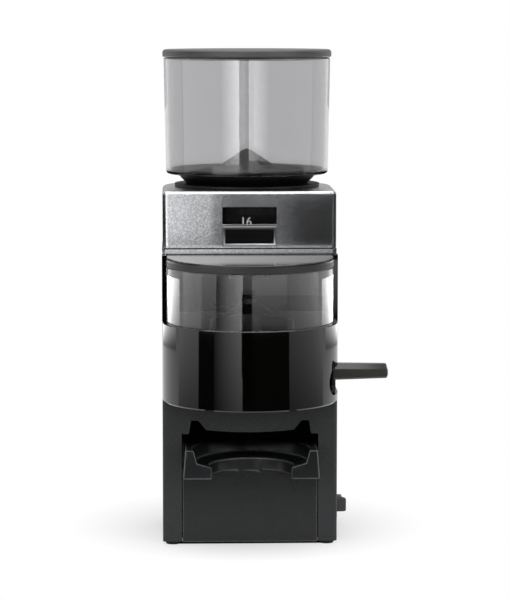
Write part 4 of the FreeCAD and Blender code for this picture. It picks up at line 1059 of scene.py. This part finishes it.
@dataclass
class Studio:
    """Camera, pale floor, white surroundings, soft lamps and the cards that reflections see."""

    eye: Point = (-0.055, -1.886, 0.3832)
    aim: Point = (0.0036, -0.076, 0.1797)
    lens: float = 151.4
    floor_size: float = 30.0
    floor_colour: float = 0.8
    floor_near: float = 0.0
    floor_far: float = 0.135
    mat_rise: float = 0.3 * MM
    ambient: float = 0.45
    lamps: Sequence[Lamp] = (
        Lamp("front_lamp", (-0.1, -1.7, 0.9), 0.5, 5.0),
        Lamp("left_lamp", (-1.1, -1.3, 0.7), 1.0, 10.0),
        Lamp("right_lamp", (1.2, -1.1, 0.65), 1.0, 11.0),
        Lamp("top_lamp", (0.0, 0.2, 1.6), 1.0, 14.0),
    )
    cards: Sequence[Card] = (
        Card("black_drape", -104.0, 104.0, (2.4, 0.0), (2.4, 2.4), BLACK, through=False, shades=True),
        Card("floor_cloth", -80.0, 80.0, (0.22, 0.002), (2.4, 0.002), (0.02, 0.02), through=False),
        Card("strip_flag", -12.0, 1.0, (0.6, 0.03), (0.6, 0.13), BLACK),
        Card("top_box", -180.0, 180.0, (0.05, 1.4), (0.8, 1.4), (3.0, 3.0)),
        Card("left_low_box", -47.0, -11.0, *LOW_ARCS, (0.1, 2.9), (0.1, 1.2)),
        Card("left_gap_box", -69.0, -47.0, (0.72, 0.082), (0.85, 0.14), (0.7, 1.8)),
        Card("far_left_low_box", -104.0, -69.0, *LOW_ARCS, (0.05, 2.2)),
        Card("right_low_box", 48.0, 104.0, *LOW_ARCS, (0.05, 2.3), (0.5, 0.9)),
        Card("front_low_box", 1.0, 48.0, (0.72, 0.086), (0.85, 0.14), (0.5, 2.0)),
        Card("left_soft_box", -40.0, -13.0, *SOFT_ARCS, (6.5, 6.5), (0.25, 1.0)),
        Card("right_soft_box", 1.0, 30.0, *SOFT_ARCS, (4.4, 4.4), (1.0, 0.3)),
        Card("far_left_soft_box", -104.0, -40.0, *SOFT_ARCS, (1.6, 1.6)),
        Card("far_right_soft_box", 30.0, 104.0, *SOFT_ARCS, (1.3, 1.3)),
        Card("left_rim_box", -160.0, -112.0, *RIM_ARCS, (0.4, 11.0), (1.0, 0.5), through=False),
        Card("right_rim_box", 112.0, 160.0, *RIM_ARCS, (0.4, 11.0), (0.5, 1.0), through=False),
        Card("back_box", 150.0, 210.0, (1.2, 0.27), (1.2, 0.8), (0.5, 0.5), through=False),
        Card("left_flag", -175.0, -62.0, *FLAG_ARCS, DARK, through=False),
        Card("right_flag", 100.0, 175.0, *FLAG_ARCS, DARK, through=False),
        Card("cover_box", -62.0, -9.0, (0.14, 0.207), (0.14, 0.262), (2.3, 2.3), (1.05, 0.27),
             through=False),
        Card("cover_glow", -8.0, 14.0, (0.14, 0.200), (0.14, 0.265), (0.21, 0.21), (0.5, 1.0),
             through=False),
        Card("cover_flag", 14.0, 100.0, (0.14, 0.197), (0.14, 0.265), DARK, through=False),
        Card("foot_box", -3.7, 3.7, (1.0, 0.2119), (1.0, 0.2175), (0.8, 0.8), (1.15, 0.5), behind=1.0,
             through=False),
    )

    def seen(self, tree: ShaderTree) -> Signal:
        """1 for a ray from the camera, a reflection or a clear piece, and 0 for light on the object."""
        camera = tree.add("ShaderNodeLightPath", {}, {}, "Is Camera Ray")
        glossy = tree.add("ShaderNodeLightPath", {}, {}, "Is Glossy Ray")
        return camera.most(glossy).most(tree.add("ShaderNodeLightPath", {}, {}, "Is Transmission Ray"))

    def surroundings(self) -> None:
        """World that is white where it is seen and softer as light."""
        world = bpy.data.worlds.new("studio")
        world.use_nodes = True
        bpy.context.scene.world = world
        tree = ShaderTree(world.node_tree)
        level = self.ambient + (1.0 - self.ambient) * self.seen(tree)
        sky = tree.add("ShaderNodeBackground", {}, {"Color": (1.0, 1.0, 1.0, 1.0), "Strength": level})
        tree.add("ShaderNodeOutputWorld", {}, {"Surface": sky})

    def plane(self, name: str, low: Point, high: Point) -> bpy.types.Object:
        """Flat rectangle between two corners at the first one's height, on no body."""
        x, y = np.meshgrid(np.array([low[0], high[0]]), np.array([low[1], high[1]]), indexing="ij")
        made = Sheet(name, np.stack([x, y, low[2] + 0 * x], axis=-1)).piece()
        return made

    def floor(self) -> None:
        """Pale floor that keeps the object's shadow, and a dark mat under the front of the base that paints
        its shadow there.

        The floor turns white away from the object. The white's share grows evenly with the distance from the
        burr axis, between the near and the far radius.
        """
        half = self.floor_size / 2
        floor = self.plane("studio_floor", (-half, -half, 0.0), (half, half, 0.0))
        made = bpy.data.materials.new("pale_floor")
        made.use_nodes = True
        tree = ShaderTree(made.node_tree)
        pale = (self.floor_colour, self.floor_colour, self.floor_colour, 1.0)
        away = tree.add("ShaderNodeVectorMath", {"operation": "LENGTH"}, {0: tree.place()}, "Value")
        share = tree.add("ShaderNodeMapRange", {},
                         {"Value": away, "From Min": self.floor_near, "From Max": self.floor_far})
        matt = tree.add("ShaderNodeBsdfDiffuse", {}, {"Color": pale})
        white = tree.add("ShaderNodeEmission", {}, {"Strength": 1.0})
        both = tree.add("ShaderNodeMixShader", {}, {0: share * self.seen(tree), 1: matt, 2: white})
        tree.add("ShaderNodeOutputMaterial", {}, {"Surface": both})
        floor.data.materials.append(made)
        # Painted shadow: a dark sheet just above the floor under the front of the base stands in for the
        # shadow in the gap below it.
        low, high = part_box("base_plate")
        shadow_mat = self.plane("under_mat", (low.x, low.y, self.mat_rise), (high.x, 0.0, self.mat_rise))
        shadow_mat.data.materials.append(RUBBER.material())

    def camera(self) -> None:
        """Camera at the photograph's place."""
        data = bpy.data.cameras.new("camera")
        data.lens = self.lens
        camera = bpy.data.objects.new("camera", data)
        camera.location = self.eye
        camera.rotation_euler = facing(self.eye, self.aim)
        bpy.context.scene.collection.objects.link(camera)
        bpy.context.scene.camera = camera

    def build(self) -> None:
        """Sets the whole studio up."""
        bpy.context.scene.view_settings.view_transform = "Standard"
        self.surroundings()
        self.floor()
        for lamp in self.lamps:
            lamp.build(self.aim)
        for card in self.cards:
            card.build(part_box("doser_window")[1].y)
        self.camera()


def main() -> None:
    """Builds every sub-assembly, then the studio."""
    logging.basicConfig(level=logging.INFO, format="%(message)s")
    for part in (LowerHousing(), Fork(), Motor(), Doser(), Lever(), GrindHead(), TopCover(), BeanHopper()):
        for name in part.build():
            log.info("%s: %s", type(part).__name__, name)
    Studio().build()
    bpy.context.view_layer.update()


if __name__ == "__main__":
    main()
